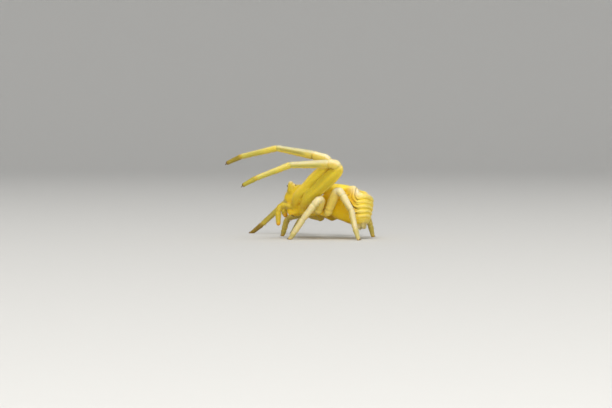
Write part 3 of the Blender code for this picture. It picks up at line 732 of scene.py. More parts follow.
def spinneret_shells():
    for side in SIDES:
        for (x, y), length in zip(SPINNERET_PLACES, SPINNERET_LENGTHS):
            start = mirrored((x, y, SPINNERET_TOP), side)
            end = start + (0.05, side * -0.03, -length)
            shell = tapered_shell(start, end, SPINNERET_RADII, sides=20, step=0.03)
            down = start[2] - shell.points[:, 2]
            shell.raise_by(SPINNERET_RING_HEIGHT * np.cos(math.tau * down / SPINNERET_RING))
            shell.softness = 0.3
            shell.mark(cream=0.60, chalk=0.10, moss=0.45, fur=0.9,
                       umber=0.12 + 0.25 * mound(np.sin(math.pi * down / SPINNERET_RING), 0.5))
            shell.points = abdomen_turned(shell.points)
            yield shell


# Mouthparts

def jaw_shell(side):
    top, bottom = mirrored(JAW_TOP, side), mirrored(JAW_BOTTOM, side)
    shell = tapered_shell(top, bottom, JAW_RADII, sides=28)
    points = shell.points
    points[:, 1] = top[1] + (points[:, 1] - top[1]) * JAW_FLATNESS
    down = top[2] - points[:, 2]
    shell.raise_by(0.03 * mound(down - 0.55, 0.3) - 0.02 * mound(down - 1.22, 0.07))
    shell.mark(lemon=0.25, amber=0.10 + 0.35 * smooth(down, 0.9, 1.4), fur=0.6)
    shell.lay((-0.5, 0.0, -1.0))
    return shell


def maxilla_shell(side):
    """The soft plate behind each jaw."""
    shell = tapered_shell(mirrored(MAXILLA_TOP, side), mirrored(MAXILLA_BOTTOM, side), MAXILLA_RADII,
                          sides=24)
    shell.mark(lemon=0.25, amber=0.12, fur=0.5)
    return shell


# Legs and palps

def rounded_path(joints, bends):
    """A centre line through the joints, with a round bend at each inner one.

    Gives its points, the length along it at each point and at each joint.
    """
    points = [Vector(joints[0])]
    marks = [0]
    for index in range(1, len(joints) - 1):
        before, here, after = (Vector(joints[index + step]) for step in (-1, 0, 1))
        inward = (before - here).normalized()
        outward = (after - here).normalized()
        half = inward.angle(outward) / 2.0
        share = KNEE_TRIM_SHARE if index in (1, 2) else 0.5
        limit = share * min((before - here).length, (after - here).length)
        trim = min(bends[index - 1] / math.tan(half), limit, (here - points[-1]).length * 0.98)
        radius = trim * math.tan(half)
        turn = math.pi - 2.0 * half
        steps = max(2, round(turn / PATH_TURN))
        start = here + inward * trim
        add_straight(points, start)
        hub = here + (inward + outward).normalized() * (radius / math.sin(half))
        spoke = start - hub
        axis = inward.cross(outward).normalized()
        marks.append(len(points) - 1 + steps // 2)
        for step in range(1, steps + 1):
            points.append(hub + Matrix.Rotation(-turn * step / steps, 3, axis) @ spoke)
    add_straight(points, Vector(joints[-1]))
    marks.append(len(points) - 1)
    points = np.array(points)
    lengths = np.append(0.0, np.cumsum(np.linalg.norm(np.diff(points, axis=0), axis=1)))
    return points, lengths, lengths[marks]


def add_straight(points, end):
    start = points[-1]
    steps = max(1, round((end - start).length / PATH_STEP))
    points.extend(start.lerp(end, step / steps) for step in range(1, steps + 1))


class Limb:
    """The centre line of a leg or palp, and its radius from place to place along it.

    stations are the places of its joints, and places are those of the given radii.
    """

    def __init__(self, joints, bends, radii):
        self.line, self.lengths, self.stations = rounded_path(joints, bends)
        self.length = self.lengths[-1]
        self.places, self.radii = self.stations, radii

    def at(self, places):
        return np.stack([np.interp(places, self.lengths, self.line[:, axis]) for axis in range(3)], -1)

    def way(self, start, end):
        """The direction from one place to another."""
        return unit(self.at(end) - self.at(start))

    def radius(self, places):
        """Radius at each place, eased from one given place to the next."""
        size = np.full(np.shape(places), self.radii[0])
        for index in range(len(self.places) - 1):
            rise = smooth(places, self.places[index], self.places[index + 1])
            size = size + (self.radii[index + 1] - self.radii[index]) * rise
        return size


def ring_places(length, joints, steps):
    """Places of the rings along a limb: close together at each joint and at the tip."""
    places = [0.0]
    while places[-1] < length - steps[1]:
        nearest = min(abs(places[-1] - joint) for joint in joints)
        share = float(smooth(nearest, *JOINT_REACH))
        places.append(places[-1] + steps[1] + share * (steps[0] - steps[1]))
    places[-1] = length
    return np.array(places)


def groove(places, joints, depth):
    """The pinch at each joint, with a slight swelling on both sides of it."""
    relief = np.zeros(len(places))
    share, distance, width = SWELLING
    for joint in joints:
        off = places - joint
        relief -= depth * mound(off, GROOVE_WIDTH)
        relief += share * depth * (mound(off - distance, width) + mound(off + distance, width))
    return relief


def limb_shell(limb, places, radii, sides, sole=False, across=UP, fullness=2.0):
    """A limb's form, with each point's place along it and the way it faces."""
    centres = limb.at(places)
    if not sole:
        tip = np.clip((places - places[-1] + radii[-1]) / radii[-1], 0.0, 1.0)
        radii = radii * np.sqrt(1.0 - 0.97 * tip * tip)
    shell = tube_shell(centres, radii, sides, sole, across, fullness)
    along = np.append(np.repeat(places, sides), (places[0], places[-1]))
    middle = np.concatenate((np.repeat(centres, sides, axis=0), centres[[0, -1]]))
    ahead = limb.way(along - 0.03, along + 0.03)
    outward = unit(shell.points - middle)
    shell.lie = unit(ahead + 0.25 * outward)
    return shell, along, outward, ahead


def front_leg_marks(shell, along, dorsal, stations, mottle, far_side_shade):
    trochanter, knee, patella, tibia, metatarsus, tip = stations[1:]
    flank = np.sqrt(np.clip(1.0 - dorsal ** 2, 0.0, 1.0))
    # top is the leg's upper side; the chalk laid on it over the knee cap, tibia and metatarsus is a painted
    # highlight.
    top = smooth(dorsal, 0.35, 0.9)
    below = smooth(-dorsal, 0.0, 0.7)
    coxa = 1.0 - smooth(along, trochanter - 0.2, trochanter + 0.6)
    thigh = band(along, trochanter, knee, 0.4)
    cap = band(along, knee, patella, 0.25)
    shin = band(along, patella, tibia, 0.12)
    shank = band(along, tibia, metatarsus, 0.2)
    toe = smooth(along, metatarsus - 0.15, metatarsus + 0.25)
    shin_share = (along - patella) / (tibia - patella)
    shank_share = (along - tibia) / (metatarsus - tibia)
    streak = band(dorsal, -0.20, 0.46, 0.12) * band(shin_share, 0.25, 0.96, 0.10) * shin
    # rim is a painted highlight of lemon and cream along one long edge of each raised femur.
    rim = smooth(dorsal if mottle < 1.0 else -dorsal, 0.62, 0.92) * thigh
    shade = smooth(flank, 0.3, 0.8) * band(shank_share, 0.45, 0.95, 0.15) * shank
    # The last argument paints shade on the legs of the right side.
    shell.mark(
        lemon=0.18 * cap + 0.06 * shin + 0.55 * below * shin + 0.22 * shank
        + 0.30 * thigh * smooth(along, knee - 1.6, knee) + 0.60 * rim,
        cream=0.30 * cap + 0.24 * shin + 0.12 * shank + 0.30 * rim,
        chalk=((0.36 + 0.12 * mottle) * cap + 0.36 * shin + 0.14 * shank) * top * (1.0 - 0.6 * far_side_shade),
        amber=0.12 * coxa + 0.25 * mound(along - metatarsus, 0.12),
        moss=(0.46 + 0.08 * np.sin(9.0 * dorsal + 2.0)) * thigh * (1.0 - 0.8 * rim) + 1.0 * streak
        + 0.32 * cap + (0.46 + (0.34 + 0.30 * mottle) * top) * shin + 0.62 * shank + 0.62 * shade
        + 0.85 * toe,
        umber=0.62 * mound(along - patella - 0.02, 0.06) * smooth(-dorsal, -0.8, 0.2) * mottle
        + (0.06 + 0.30 * mottle) * streak + 0.08 * shin * top + (0.03 + 0.14 * mottle) * shade
        + 0.12 * mound(along - tibia, 0.06) + 0.22 * mound(along - metatarsus, 0.10)
        + (0.12 + 0.50 * mottle) * toe + 0.70 * smooth(along, tip - 0.22, tip - 0.05)
        + 0.24 * far_side_shade,
        fur=0.25 + 0.5 * smooth(along, knee, patella),
    )


def hind_leg_marks(shell, along, dorsal, stations, mottle, far_side_shade):
    trochanter, knee, patella, tibia, metatarsus, tip = stations[1:]
    coxa = 1.0 - smooth(along, trochanter - 0.2, trochanter + 0.4)
    thigh = band(along, trochanter, knee, 0.25)
    outer = smooth(along, knee - 0.3, knee + 0.1)
    toe = smooth(along, metatarsus - 0.1, metatarsus + 0.25)
    lower = smooth(along, tibia - 1.2, tibia + 0.2)
    # The last argument paints shade on the legs of the right side.
    shell.mark(
        lemon=0.45 * thigh + 0.25 * outer,
        cream=(0.40 * thigh + (0.72 - 0.12 * mottle) * outer - 0.15 * toe) * (1.0 - 0.6 * far_side_shade),
        # The chalk on the upper side of the leg beyond the knee, and round the knee, is a painted highlight.
        chalk=(0.44 * outer * (1.0 - 0.6 * toe) * smooth(dorsal, 0.0, 0.9) + 0.25 * mound(along - knee, 0.35))
        * (1.0 - 0.35 * mottle) * (1.0 - 0.8 * far_side_shade),
        amber=0.15 * coxa + 0.80 * smooth(along, tip - 0.28, tip - 0.06),
        moss=0.12 * thigh + 0.32 * outer + 0.16 * lower + 0.50 * toe + 0.20 * far_side_shade,
        umber=0.10 * mound(along - patella, 0.05) + 0.10 * mound(along - tibia, 0.05)
        + 0.35 * smooth(along, tip - 0.14, tip) + 0.26 * far_side_shade + 0.08 * lower + 0.10 * toe * mottle,
        fur=0.30 + 0.45 * outer,
    )


def is_front(name):
    return int(name[-1]) <= 2


def stands(name):
    return LEG_JOINTS[name][-1][2] < STANDING


def leg(name):
    """A leg's centre line, with two more radii along the femur."""
    front = is_front(name)
    side = -1 if name.startswith("left") else 1
    root = leaned(mirrored(LEG_ROOTS[int(name[-1]) - 1], side))
    limb = Limb((root, *LEG_JOINTS[name]), FRONT_BENDS if front else REAR_BENDS,
                FRONT_LEG_RADII if front else REAR_LEG_RADII)
    trochanter, knee = limb.stations[1:3]
    thigh = [trochanter + share * (knee - trochanter) for share in FEMUR_PLACES]
    limb.places = [*limb.stations[:2], *thigh, *limb.stations[2:]]
    return limb


def leg_shell(name, sizes):
    front, sole = is_front(name), stands(name)
    limb = leg(name)
    trochanter, knee = limb.stations[1:3]
    creases = [*limb.stations[1:6], trochanter + 0.55] if sole else [*limb.stations[2:6]]
    places = ring_places(limb.length, [*creases, limb.length], RING_STEPS)
    size = limb.radius(places) * (1.0 + groove(places, creases, sizes.joint_groove))
    if sole:
        size = size * (1.0 - 0.25 * smooth(places, limb.length - 0.12, limb.length))
    thigh_way, shin_way = (limb.way(knee + step - 0.3, knee + step) for step in (-0.9, 0.9))
    hinge = np.cross(thigh_way, shin_way)
    flat = band(places, trochanter + 0.3, knee - 0.3, 0.4) * (0.4 if sole else 2.2)
    face = hinge if sole else RAISED_FEMUR_FACE
    shell, along, outward, ahead = limb_shell(limb, places, size, LEG_SIDES[front], sole, face, 2.0 + flat)
    back = unit(np.cross(hinge, ahead))
    if np.cross(hinge, thigh_way + shin_way) @ unit(thigh_way - shin_way) < 0.0:
        back = -back
    dorsal = np.einsum("ij,ij->i", outward, back)
    shell.raise_by(0.010 * ripple(shell.points, 0.9, 0.4) * smooth(limb.length - along, 0.1, 0.4))
    mottle = LEG_MOTTLE[int(name[-1]) - 1]
    # The legs of the right side, away from the camera, get painted shade: fewer pale marks and more dark
    # ones.
    far_side_shade = 1.0 if name.startswith("right") else 0.0
    (front_leg_marks if front else hind_leg_marks)(shell, along, dorsal, limb.stations, mottle, far_side_shade)
    shell.marks["fur"] *= smooth(shell.points[:, 2], *BARE_FEET)
    return shell


def palp_shell(side, sizes):
    joints = [leaned(mirrored(joint, side)) for joint in PALP_JOINTS[side]]
    limb = Limb(joints, [PALP_BEND] * (len(joints) - 2), PALP_RADII)
    places = ring_places(limb.length, limb.stations[1:], PALP_STEPS)
    size = limb.radius(places) * (1.0 + groove(places, limb.stations[1:-1], sizes.joint_groove))
    shell, along = limb_shell(limb, places, size, PALP_SIDES)[:2]
    shell.mark(lemon=0.06, moss=0.58,
               amber=0.10 + 0.85 * smooth(along, limb.length - 0.40, limb.length - 0.12),
               umber=0.14 + 0.25 * smooth(along, limb.length - 0.16, limb.length), fur=0.9)
    return shell


# Meshes and objects

def placed(name, data):
    """A new object with these data, in the scene."""
    item = bpy.data.objects.new(name, data)
    bpy.context.scene.collection.objects.link(item)
    return item


def mesh_object(name, points, triangles):
    mesh = bpy.data.meshes.new(name)
    mesh.from_pydata(points.tolist(), [], triangles.tolist())
    return placed(name, mesh)


def merged(shells):
    """Points and triangles of several shells in one mesh."""
    points = np.concatenate([shell.points for shell in shells])
    starts = np.cumsum([0] + [len(shell.points) for shell in shells[:-1]])
    triangles = np.concatenate([shell.triangles + start for shell, start in zip(shells, starts)])
    return points, triangles


def finish_mesh(item, material=None):
    """Bring a piece from millimetres to its place in metres."""
    item.data.transform(TO_METRES)
    if material:
        item.data.materials.clear()
        item.data.materials.append(material)
    item.data.shade_smooth()


def piece_of_shells(name, shells, material):
    piece = mesh_object(name, *merged(shells))
    finish_mesh(piece, material)
    return piece


def baked_modifier(item):
    """Swap an object's mesh for what its modifiers make of it."""
    graph = bpy.context.evaluated_depsgraph_get()
    mesh = bpy.data.meshes.new_from_object(item.evaluated_get(graph))
    item.modifiers.clear()
    old_mesh, item.data = item.data, mesh
    bpy.data.meshes.remove(old_mesh)


def united(shells):
    """One closed surface round all of the shells."""
    first, *others = [mesh_object("shell", shell.points, shell.triangles) for shell in shells]
    group = bpy.data.collections.new("shells")
    bpy.context.scene.collection.children.link(group)
    for other in others:
        bpy.context.scene.collection.objects.unlink(other)
        group.objects.link(other)
    modifier = first.modifiers.new("Union", "BOOLEAN")
    modifier.operation = "UNION"
    modifier.operand_type = "COLLECTION"
    modifier.collection = group
    modifier.solver = "MANIFOLD"
    baked_modifier(first)
    for other in others:
        bpy.data.objects.remove(other, do_unlink=True)
    bpy.data.collections.remove(group)
    keep_largest_surface(first.data)
    return first


def keep_largest_surface(mesh):
    bm = bmesh.new()
    bm.from_mesh(mesh)
    bmesh.ops.dissolve_degenerate(bm, edges=bm.edges, dist=SLIVER)
    left = set(bm.verts)
    surfaces = []
    while left:
        front = [left.pop()]
        surface = set(front)
        while front:
            for edge in front.pop().link_edges:
                for other in edge.verts:
                    if other in left:
                        left.remove(other)
                        surface.add(other)
                        front.append(other)
        surfaces.append(surface)
    largest = max(surfaces, key=len)
    loose = [vert for surface in surfaces if surface is not largest for vert in surface]
    bmesh.ops.delete(bm, geom=loose, context="VERTS")
    bmesh.ops.triangulate(bm, faces=bm.faces)
    bm.to_mesh(mesh)
    bm.free()


def mesh_points(mesh):
    points = np.empty(len(mesh.vertices) * 3)
    mesh.vertices.foreach_get("co", points)
    return points.reshape(-1, 3)


def nearest_sources(mesh, shells):
    """For each vertex of the skin, the nearest point of the shells and that point's shell."""
    sources = np.concatenate([shell.points for shell in shells])
    owners = np.concatenate([np.full(len(shell.points), index) for index, shell in enumerate(shells)])
    tree = KDTree(len(sources))
    for index, point in enumerate(sources):
        tree.insert(point, index)
    tree.balance()
    found = np.array([tree.find(vertex.co)[1] for vertex in mesh.vertices])
    return found, owners[found]


def eased_seams(mesh, owners, softness, values, rounds):
    """Soften the skin and what it carries where two shells run together.

    softness says, for each point, how much its seams are smoothed.
    """
    edges = np.empty(len(mesh.edges) * 2, dtype=int)
    mesh.edges.foreach_get("vertices", edges)
    first, second = edges.reshape(-1, 2).T
    count = len(mesh.vertices)
    weight = np.zeros(count)
    seam = owners[first] != owners[second]
    weight[first[seam]] = weight[second[seam]] = 1.0
    for _ in range(SEAM_SPREAD):
        wider = weight.copy()
        np.maximum.at(wider, first, SEAM_FADE * weight[second])
        np.maximum.at(wider, second, SEAM_FADE * weight[first])
        weight = wider
    degree = np.bincount(first, minlength=count) + np.bincount(second, minlength=count)
    share = (0.5 * weight * softness)[:, None]
    for _ in range(rounds):
        total = np.zeros_like(values)
        np.add.at(total, first, values[second])
        np.add.at(total, second, values[first])
        values = values + share * (total / degree[:, None] - values)
    return values


def store(mesh, name, values, kind="FLOAT"):
    attribute = mesh.attributes.new(name, kind, "POINT")
    field = "value" if kind == "FLOAT" else "vector"
    attribute.data.foreach_set(field, np.asarray(values, dtype=np.float32).ravel())


# Materials

def feed(tree, node, inputs):
    """Set a node's inputs, given by name or number, or link them where a socket is given."""
    for name, value in inputs.items():
        if isinstance(value, bpy.types.NodeSocket):
            tree.links.new(value, node.inputs[name])
        else:
            node.inputs[name].default_value = value


def add_node(tree, kind, inputs=None, **settings):
    node = tree.nodes.new(kind)
    for name, value in settings.items():
        setattr(node, name, value)
    feed(tree, node, inputs or {})
    return node


def new_material(name):
    """A material, its tree and shader, and the place on the object that its patterns follow."""
    material = bpy.data.materials.new(name)
    material.use_nodes = True
    tree = material.node_tree
    place = add_node(tree, "ShaderNodeTexCoord").outputs["Object"]
    return material, tree, tree.nodes["Principled BSDF"], place


def colour_mix(tree, factor, first, second):
    node = add_node(tree, "ShaderNodeMix", {0: factor, 6: first, 7: second}, data_type="RGBA")
    return node.outputs[2]


def calculate(tree, operation, *values, clamp=False):
    node = add_node(tree, "ShaderNodeMath", dict(enumerate(values)), operation=operation,
                    use_clamp=clamp)
    return node.outputs[0]


def spread_out(tree, value, least, most, low, high):
    """The value, with least to most of it stretched to low to high."""
    node = add_node(tree, "ShaderNodeMapRange", {"Value": value, "From Min": least, "From Max": most,
                                                 "To Min": low, "To Max": high})
    return node.outputs["Result"]


def rgba(colour):
    return (*colour, 1.0)


def noise_at(tree, place, size, detail=2.0, roughness=0.55):
    """Noise whose blotches are about size metres across."""
    node = add_node(tree, "ShaderNodeTexNoise",
                    {"Vector": place, "Scale": 1.0 / size, "Detail": detail, "Roughness": roughness})
    return node.outputs["Fac"]


def marked_colour(tree, place, colours):
    """The skin's colour from its marks, with uneven edges and a fine mottle."""
    broad, fine = (noise_at(tree, place, size * MM, 3.0) for size in MOTTLE_SIZES)
    uneven = calculate(tree, "MULTIPLY_ADD", fine, 0.7, 0.65)
    darker = [channel * shade for channel, shade in zip(colours.cuticle, CUTICLE_SHADE)]
    colour = colour_mix(tree, broad, rgba(colours.cuticle), rgba(darker))
    for name in MARKS_IN_ORDER:
        mark = add_node(tree, "ShaderNodeAttribute", attribute_name=name).outputs["Fac"]
        share = calculate(tree, "MULTIPLY", mark, uneven, clamp=True)
        colour = colour_mix(tree, share, colour, rgba(getattr(colours, name)))
    return colour


def skin_material(colours):
    """The marked colours under fine pale warts, grey green blotches and a grain."""
    material, tree, shader, place = new_material("spider_cuticle")
    colour = marked_colour(tree, place, colours)
    wart_size, wart_paleness = WART
    warts = add_node(tree, "ShaderNodeTexVoronoi", {"Vector": place, "Scale": 1.0 / (wart_size * MM)})
    wart = spread_out(tree, warts.outputs["Distance"], 0.12, 0.34, 1.0, 0.0)
    paler = calculate(tree, "MULTIPLY", wart, wart_paleness)
    colour = colour_mix(tree, paler, colour, rgba(colours.lemon))
    blotch_size, greenest = MOSS_BLOTCH
    blotch = spread_out(tree, noise_at(tree, place, blotch_size * MM, 5.0, 0.7), 0.48, 0.72, 0.0, greenest)
    colour = colour_mix(tree, blotch, colour, rgba(colours.moss))
    grain = noise_at(tree, place, GRAIN_SIZE * MM, 4.0, 0.6)
    relief = calculate(tree, "MULTIPLY_ADD", wart, WART_HEIGHT, grain)
    bump = add_node(tree, "ShaderNodeBump",
                    {"Strength": 0.70, "Distance": RELIEF_DEPTH * MM, "Height": relief})
    feed(tree, shader, {
        "Base Color": colour, "Roughness": spread_out(tree, grain, 0.3, 0.7, 0.34, 0.54),
        "Normal": bump.outputs["Normal"], "Specular IOR Level": 0.20, "Subsurface Weight": 0.30,
        "Subsurface Radius": GLOW_REACH, "Subsurface Scale": GLOW_DEPTH * MM,
    })
    return material


def hair_material(colours):
    material, tree, shader, place = new_material("spider_hair")
    colour = colour_mix(tree, HAIR_PALENESS, marked_colour(tree, place, colours), rgba(colours.chalk))
    feed(tree, shader, {"Base Color": colour, "Roughness": 0.45})
    return material


def mottled_material(name, size, detail, first, second, values, rough=None):
    """Two colours in blotches about size millimetres wide, and the shader's other values.

    rough is how much the second colour adds to the roughness, and the roughness without it.
    """
    material, tree, shader, place = new_material(name)
    mottle = noise_at(tree, place, size * MM, detail)
    feed(tree, shader, {"Base Color": colour_mix(tree, mottle, rgba(first), rgba(second)), **values})
    if rough:
        feed(tree, shader, {"Roughness": calculate(tree, "MULTIPLY_ADD", mottle, *rough)})
    return material


def claw_material(colours):
    return mottled_material("claw_horn", 0.12, 3.0, colours.umber, CLAW_BLACK, {"Coat Weight": 0.5},
                            rough=(0.2, 0.12))


# Geometry Nodes for what repeats

def new_tree(name, inputs):
    """A geometry tree with named inputs, given as (name, socket type, value)."""
    tree = bpy.data.node_groups.new(name, "GeometryNodeTree")
    tree.interface.new_socket("Geometry", in_out="INPUT", socket_type="NodeSocketGeometry")
    for label, kind, value in inputs:
        socket = tree.interface.new_socket(label, in_out="INPUT", socket_type=kind)
        if value is not None:
            socket.default_value = value
    tree.interface.new_socket("Geometry", in_out="OUTPUT", socket_type="NodeSocketGeometry")
    return tree, tree.nodes.new("NodeGroupInput"), tree.nodes.new("NodeGroupOutput")


def named(tree, name, kind="FLOAT"):
    node = add_node(tree, "GeometryNodeInputNamedAttribute", {"Name": name}, data_type=kind)
    return node.outputs["Attribute"]


def vector_sum(tree, first, second, scale):
    """first plus scale times second."""
    scaled = add_node(tree, "ShaderNodeVectorMath", {0: second, 3: scale}, operation="SCALE")
    return add_node(tree, "ShaderNodeVectorMath", {0: first, 1: scaled.outputs[0]}).outputs[0]


def blade(tree, length, radius, sides, rings):
    """One curved, tapered blade a millimetre tall, with its own places for the bake's map."""
    cone = add_node(tree, "GeometryNodeMeshCone",
                    {"Vertices": sides, "Side Segments": rings, "Fill Segments": 1,
                     "Radius Top": BLADE_TIP, "Radius Bottom": 1.0, "Depth": 1.0}, fill_type="NGON")
    place = add_node(tree, "GeometryNodeInputPosition").outputs[0]
    split = add_node(tree, "ShaderNodeSeparateXYZ", {0: place})
    x, y, z = split.outputs
    u = calculate(tree, "MULTIPLY_ADD", y, 0.28, calculate(tree, "MULTIPLY_ADD", x, 0.36, 0.5))
    v = calculate(tree, "MULTIPLY_ADD", y, 0.06, calculate(tree, "MULTIPLY_ADD", z, 0.85, 0.07))
    patch = add_node(tree, "ShaderNodeCombineXYZ", {0: u, 1: v}).outputs[0]
    kept = add_node(tree, "GeometryNodeStoreNamedAttribute",
                    {"Geometry": cone.outputs["Mesh"], "Name": "patch", "Value": patch},
                    data_type="FLOAT_VECTOR", domain="POINT")
    droop = calculate(tree, "MULTIPLY", calculate(tree, "MULTIPLY", z, z), BLADE_DROOP)
    slimness = calculate(tree, "DIVIDE", radius, length)
    shaped_x = calculate(tree, "MULTIPLY_ADD", slimness, x, droop)
    shaped_y = calculate(tree, "MULTIPLY", slimness, y)
    shaped = add_node(tree, "ShaderNodeCombineXYZ", {0: shaped_x, 1: shaped_y, 2: z}).outputs[0]
    moved = add_node(tree, "GeometryNodeSetPosition",
                     {"Geometry": kept.outputs["Geometry"], "Position": shaped})
    return moved.outputs["Geometry"]


def planted(tree, points, instance, aim, lie, size, material):
    """Copies of the blade on points, along aim and bent towards lie, as one plain mesh."""
    turn = add_node(tree, "FunctionNodeAxesToRotation", {"Primary Axis": aim, "Secondary Axis": lie},
                    primary_axis="Z", secondary_axis="X").outputs["Rotation"]
    copies = add_node(tree, "GeometryNodeInstanceOnPoints",
                      {"Points": points, "Instance": instance, "Rotation": turn, "Scale": size})
    real = add_node(tree, "GeometryNodeRealizeInstances", {"Geometry": copies.outputs["Instances"]})
    patch = vector_sum(tree, named(tree, "root_place", "FLOAT_VECTOR"), named(tree, "patch", "FLOAT_VECTOR"),
                       TUFT_PATCH)
    mapped = add_node(tree, "GeometryNodeStoreNamedAttribute",
                      {"Geometry": real.outputs["Geometry"], "Name": "OFBake", "Value": patch},
                      data_type="FLOAT2", domain="CORNER")
    shaded = add_node(tree, "GeometryNodeSetMaterial",
                      {"Geometry": mapped.outputs["Geometry"], "Material": material})
    return shaded.outputs["Geometry"]


def hair_tree():
    """Fine hairs, scattered over the skin by its fur mark and laid along its lie."""
    tree, given, result = new_tree("FineHairs", (
        ("Density", "NodeSocketFloat", 30.0), ("Length", "NodeSocketFloat", 0.25),
        ("Radius", "NodeSocketFloat", 0.008), ("Lie", "NodeSocketFloat", HAIR_LIE),
        ("Seed", "NodeSocketInt", 0), ("Material", "NodeSocketMaterial", None)))
    density = calculate(tree, "MULTIPLY", given.outputs["Density"], named(tree, "fur"))
    scatter = add_node(tree, "GeometryNodeDistributePointsOnFaces",
                       {"Mesh": given.outputs["Geometry"], "Density": density,
                        "Seed": given.outputs["Seed"]})
    lie = named(tree, "lie", "FLOAT_VECTOR")
    wild = add_node(tree, "FunctionNodeRandomValue",
                    {0: (-1.0, -1.0, -1.0), 1: (1.0, 1.0, 1.0), "Seed": 3}, data_type="FLOAT_VECTOR")
    aim = vector_sum(tree, scatter.outputs["Normal"], lie, given.outputs["Lie"])
    aim = vector_sum(tree, aim, wild.outputs[0], HAIR_STRAY)
    share = add_node(tree, "FunctionNodeRandomValue", {2: HAIR_SHORTEST, 3: 1.0, "Seed": 5},
                     data_type="FLOAT")
    size = calculate(tree, "MULTIPLY", share.outputs[1], given.outputs["Length"])
    shape = blade(tree, given.outputs["Length"], given.outputs["Radius"], 3, 2)
    made = planted(tree, scatter.outputs["Points"], shape, aim, lie, size, given.outputs["Material"])
    feed(tree, result, {0: made})
    return tree


def spine_tree():
    """Stout spines, one on each loose point, along the direction that the point carries."""
    tree, given, result = new_tree("LegSpines", (
        ("Length", "NodeSocketFloat", 0.3), ("Radius", "NodeSocketFloat", 0.02),
        ("Material", "NodeSocketMaterial", None)))
    shape = blade(tree, given.outputs["Length"], given.outputs["Radius"], 6, 4)
    size = calculate(tree, "MULTIPLY", named(tree, "size"), given.outputs["Length"])
    made = planted(tree, given.outputs["Geometry"], shape, named(tree, "aim", "FLOAT_VECTOR"),
                   named(tree, "lie", "FLOAT_VECTOR"), size, given.outputs["Material"])
    feed(tree, result, {0: made})
    return tree


def grown(item, tree, values):
    """Run a geometry tree on an object and keep the plain mesh that comes out."""
    modifier = item.modifiers.new("Grow", "NODES")
    modifier.node_group = tree
    for socket in tree.interface.items_tree:
        if socket.in_out == "INPUT" and socket.name in values:
            modifier[socket.identifier] = values[socket.name]
    item.update_tag()
    baked_modifier(item)
    for name in ("patch", "root_place", "lie", "fur", "aim", "size"):
        attribute = item.data.attributes.get(name)
        if attribute:
            item.data.attributes.remove(attribute)


# Pieces

def skin_shells(sizes):
    shells = [prosoma_shell(), abdomen_shell(sizes), waist_shell(), *spinneret_shells()]
    for side in SIDES:
        shells += [*brow_point_shells(side), jaw_shell(side), maxilla_shell(side)]
    for shell in shells:
        shell.points = leaned(shell.points)
        shell.lie = leaned(shell.lie) - leaned(np.zeros(3))     # a direction only turns
    shells += [palp_shell(side, sizes) for side in SIDES]
    shells += [leg_shell(name, sizes) for name in LEG_JOINTS]
    for shell in shells:
        spot = to_segment(shell.points, *FLANK_SPOT)
        under = to_segment(shell.points + (0.0, 0.0, 0.24), *FLANK_SPOT)
        shell.mark(umber=0.62 * mound(spot, 0.12), moss=0.30 * mound(spot, 0.20),
                   amber=0.50 * mound(under, 0.18))
    tiles = math.ceil(math.sqrt(len(shells)))
    for index, shell in enumerate(shells):
        corner = np.array(divmod(index, tiles))
        shell.atlas = (corner + 0.05 + 0.9 * shell.atlas) / tiles
    return shells


def make_skin(sizes, colours):
    shells = skin_shells(sizes)
    skin = united(shells)
    skin.name = skin.data.name = "spider_skin"
    mesh = skin.data
    found, owners = nearest_sources(mesh, shells)
    columns = [np.concatenate([shell.marks[name] for shell in shells])[found] for name in MARKS]
    lie = np.concatenate([shell.lie for shell in shells])[found]
    atlas = np.concatenate([shell.atlas for shell in shells])[found]
    values = np.column_stack((mesh_points(mesh), *columns, lie))
    softness = np.array([shell.softness for shell in shells])[owners]
    values = eased_seams(mesh, owners, softness, values, sizes.seam_rounds)
    mesh.vertices.foreach_set("co", values[:, :3].ravel())
    for name, column in zip(MARKS, values[:, 3:].T):
        store(mesh, name, column)
    store(mesh, "lie", values[:, 3 + len(MARKS):], "FLOAT_VECTOR")
    store(mesh, "root_place", np.column_stack((atlas, np.zeros(len(atlas)))), "FLOAT_VECTOR")
    mesh.update()
    finish_mesh(skin, skin_material(colours))
    return skin


def make_eyes(looks):
    shells = []
    for seat, normal, radius in eye_seats():
        bm = bmesh.new()
        bmesh.ops.create_icosphere(bm, subdivisions=3, radius=radius)
        bm.verts.ensure_lookup_table()
        ball = np.array([vert.co for vert in bm.verts])
        triangles = np.array([[vert.index for vert in face.verts] for face in bm.faces])
        bm.free()
        points = leaned(seat + normal * (looks.bulge * radius + EYE_STAND) + ball)
        shells.append(Shell(points, triangles, np.zeros((len(points), 2))))
    finish = mottled_material("eye_lens", 0.06, 2.0, looks.colour, LENS_BLACK,
                              {"Roughness": 0.06, "Coat Weight": 1.0, "Coat Roughness": 0.03})
    return piece_of_shells("eyes", shells, finish)


def hooked_shell(root, ahead, down, length, radius):
    """A claw that leaves its root along ahead and curves towards down."""
    share = np.linspace(0.0, 1.0, HOOK_RINGS)
    centres = root + length * (np.outer(share, ahead) + np.outer(0.55 * share ** 2.2, down))
    return tube_shell(centres, radius * (1.0 - 0.86 * share ** 1.3), HOOK_SIDES)


def make_claws(colours):
    """Two small claws at the tip of each leg."""
    shells = []
    root_height, standing_share = STANDING_CLAW
    for name in LEG_JOINTS:
        limb = leg(name)
        end = limb.line[-1]
        ahead = unit(end - limb.line[-8])
        if stands(name):
            ahead = unit(ahead * (1.0, 1.0, 0.0) + 1e-6)
            tip = end + ahead * (0.6 * limb.radii[-1]) + (0.0, 0.0, root_height)
            down, length = np.array((0.0, 0.0, -0.30)), standing_share * CLAW_LENGTH
        else:
            tip = end - ahead * CLAW_SET_BACK
            down, length = np.array((0.0, 0.0, -0.8)), CLAW_LENGTH
        aside = unit(np.cross(ahead, UP))
        for side in SIDES:
            shells.append(hooked_shell(tip + aside * side * CLAW_SPREAD, ahead, down, length, CLAW_RADIUS))
    return piece_of_shells("claws", shells, claw_material(colours))


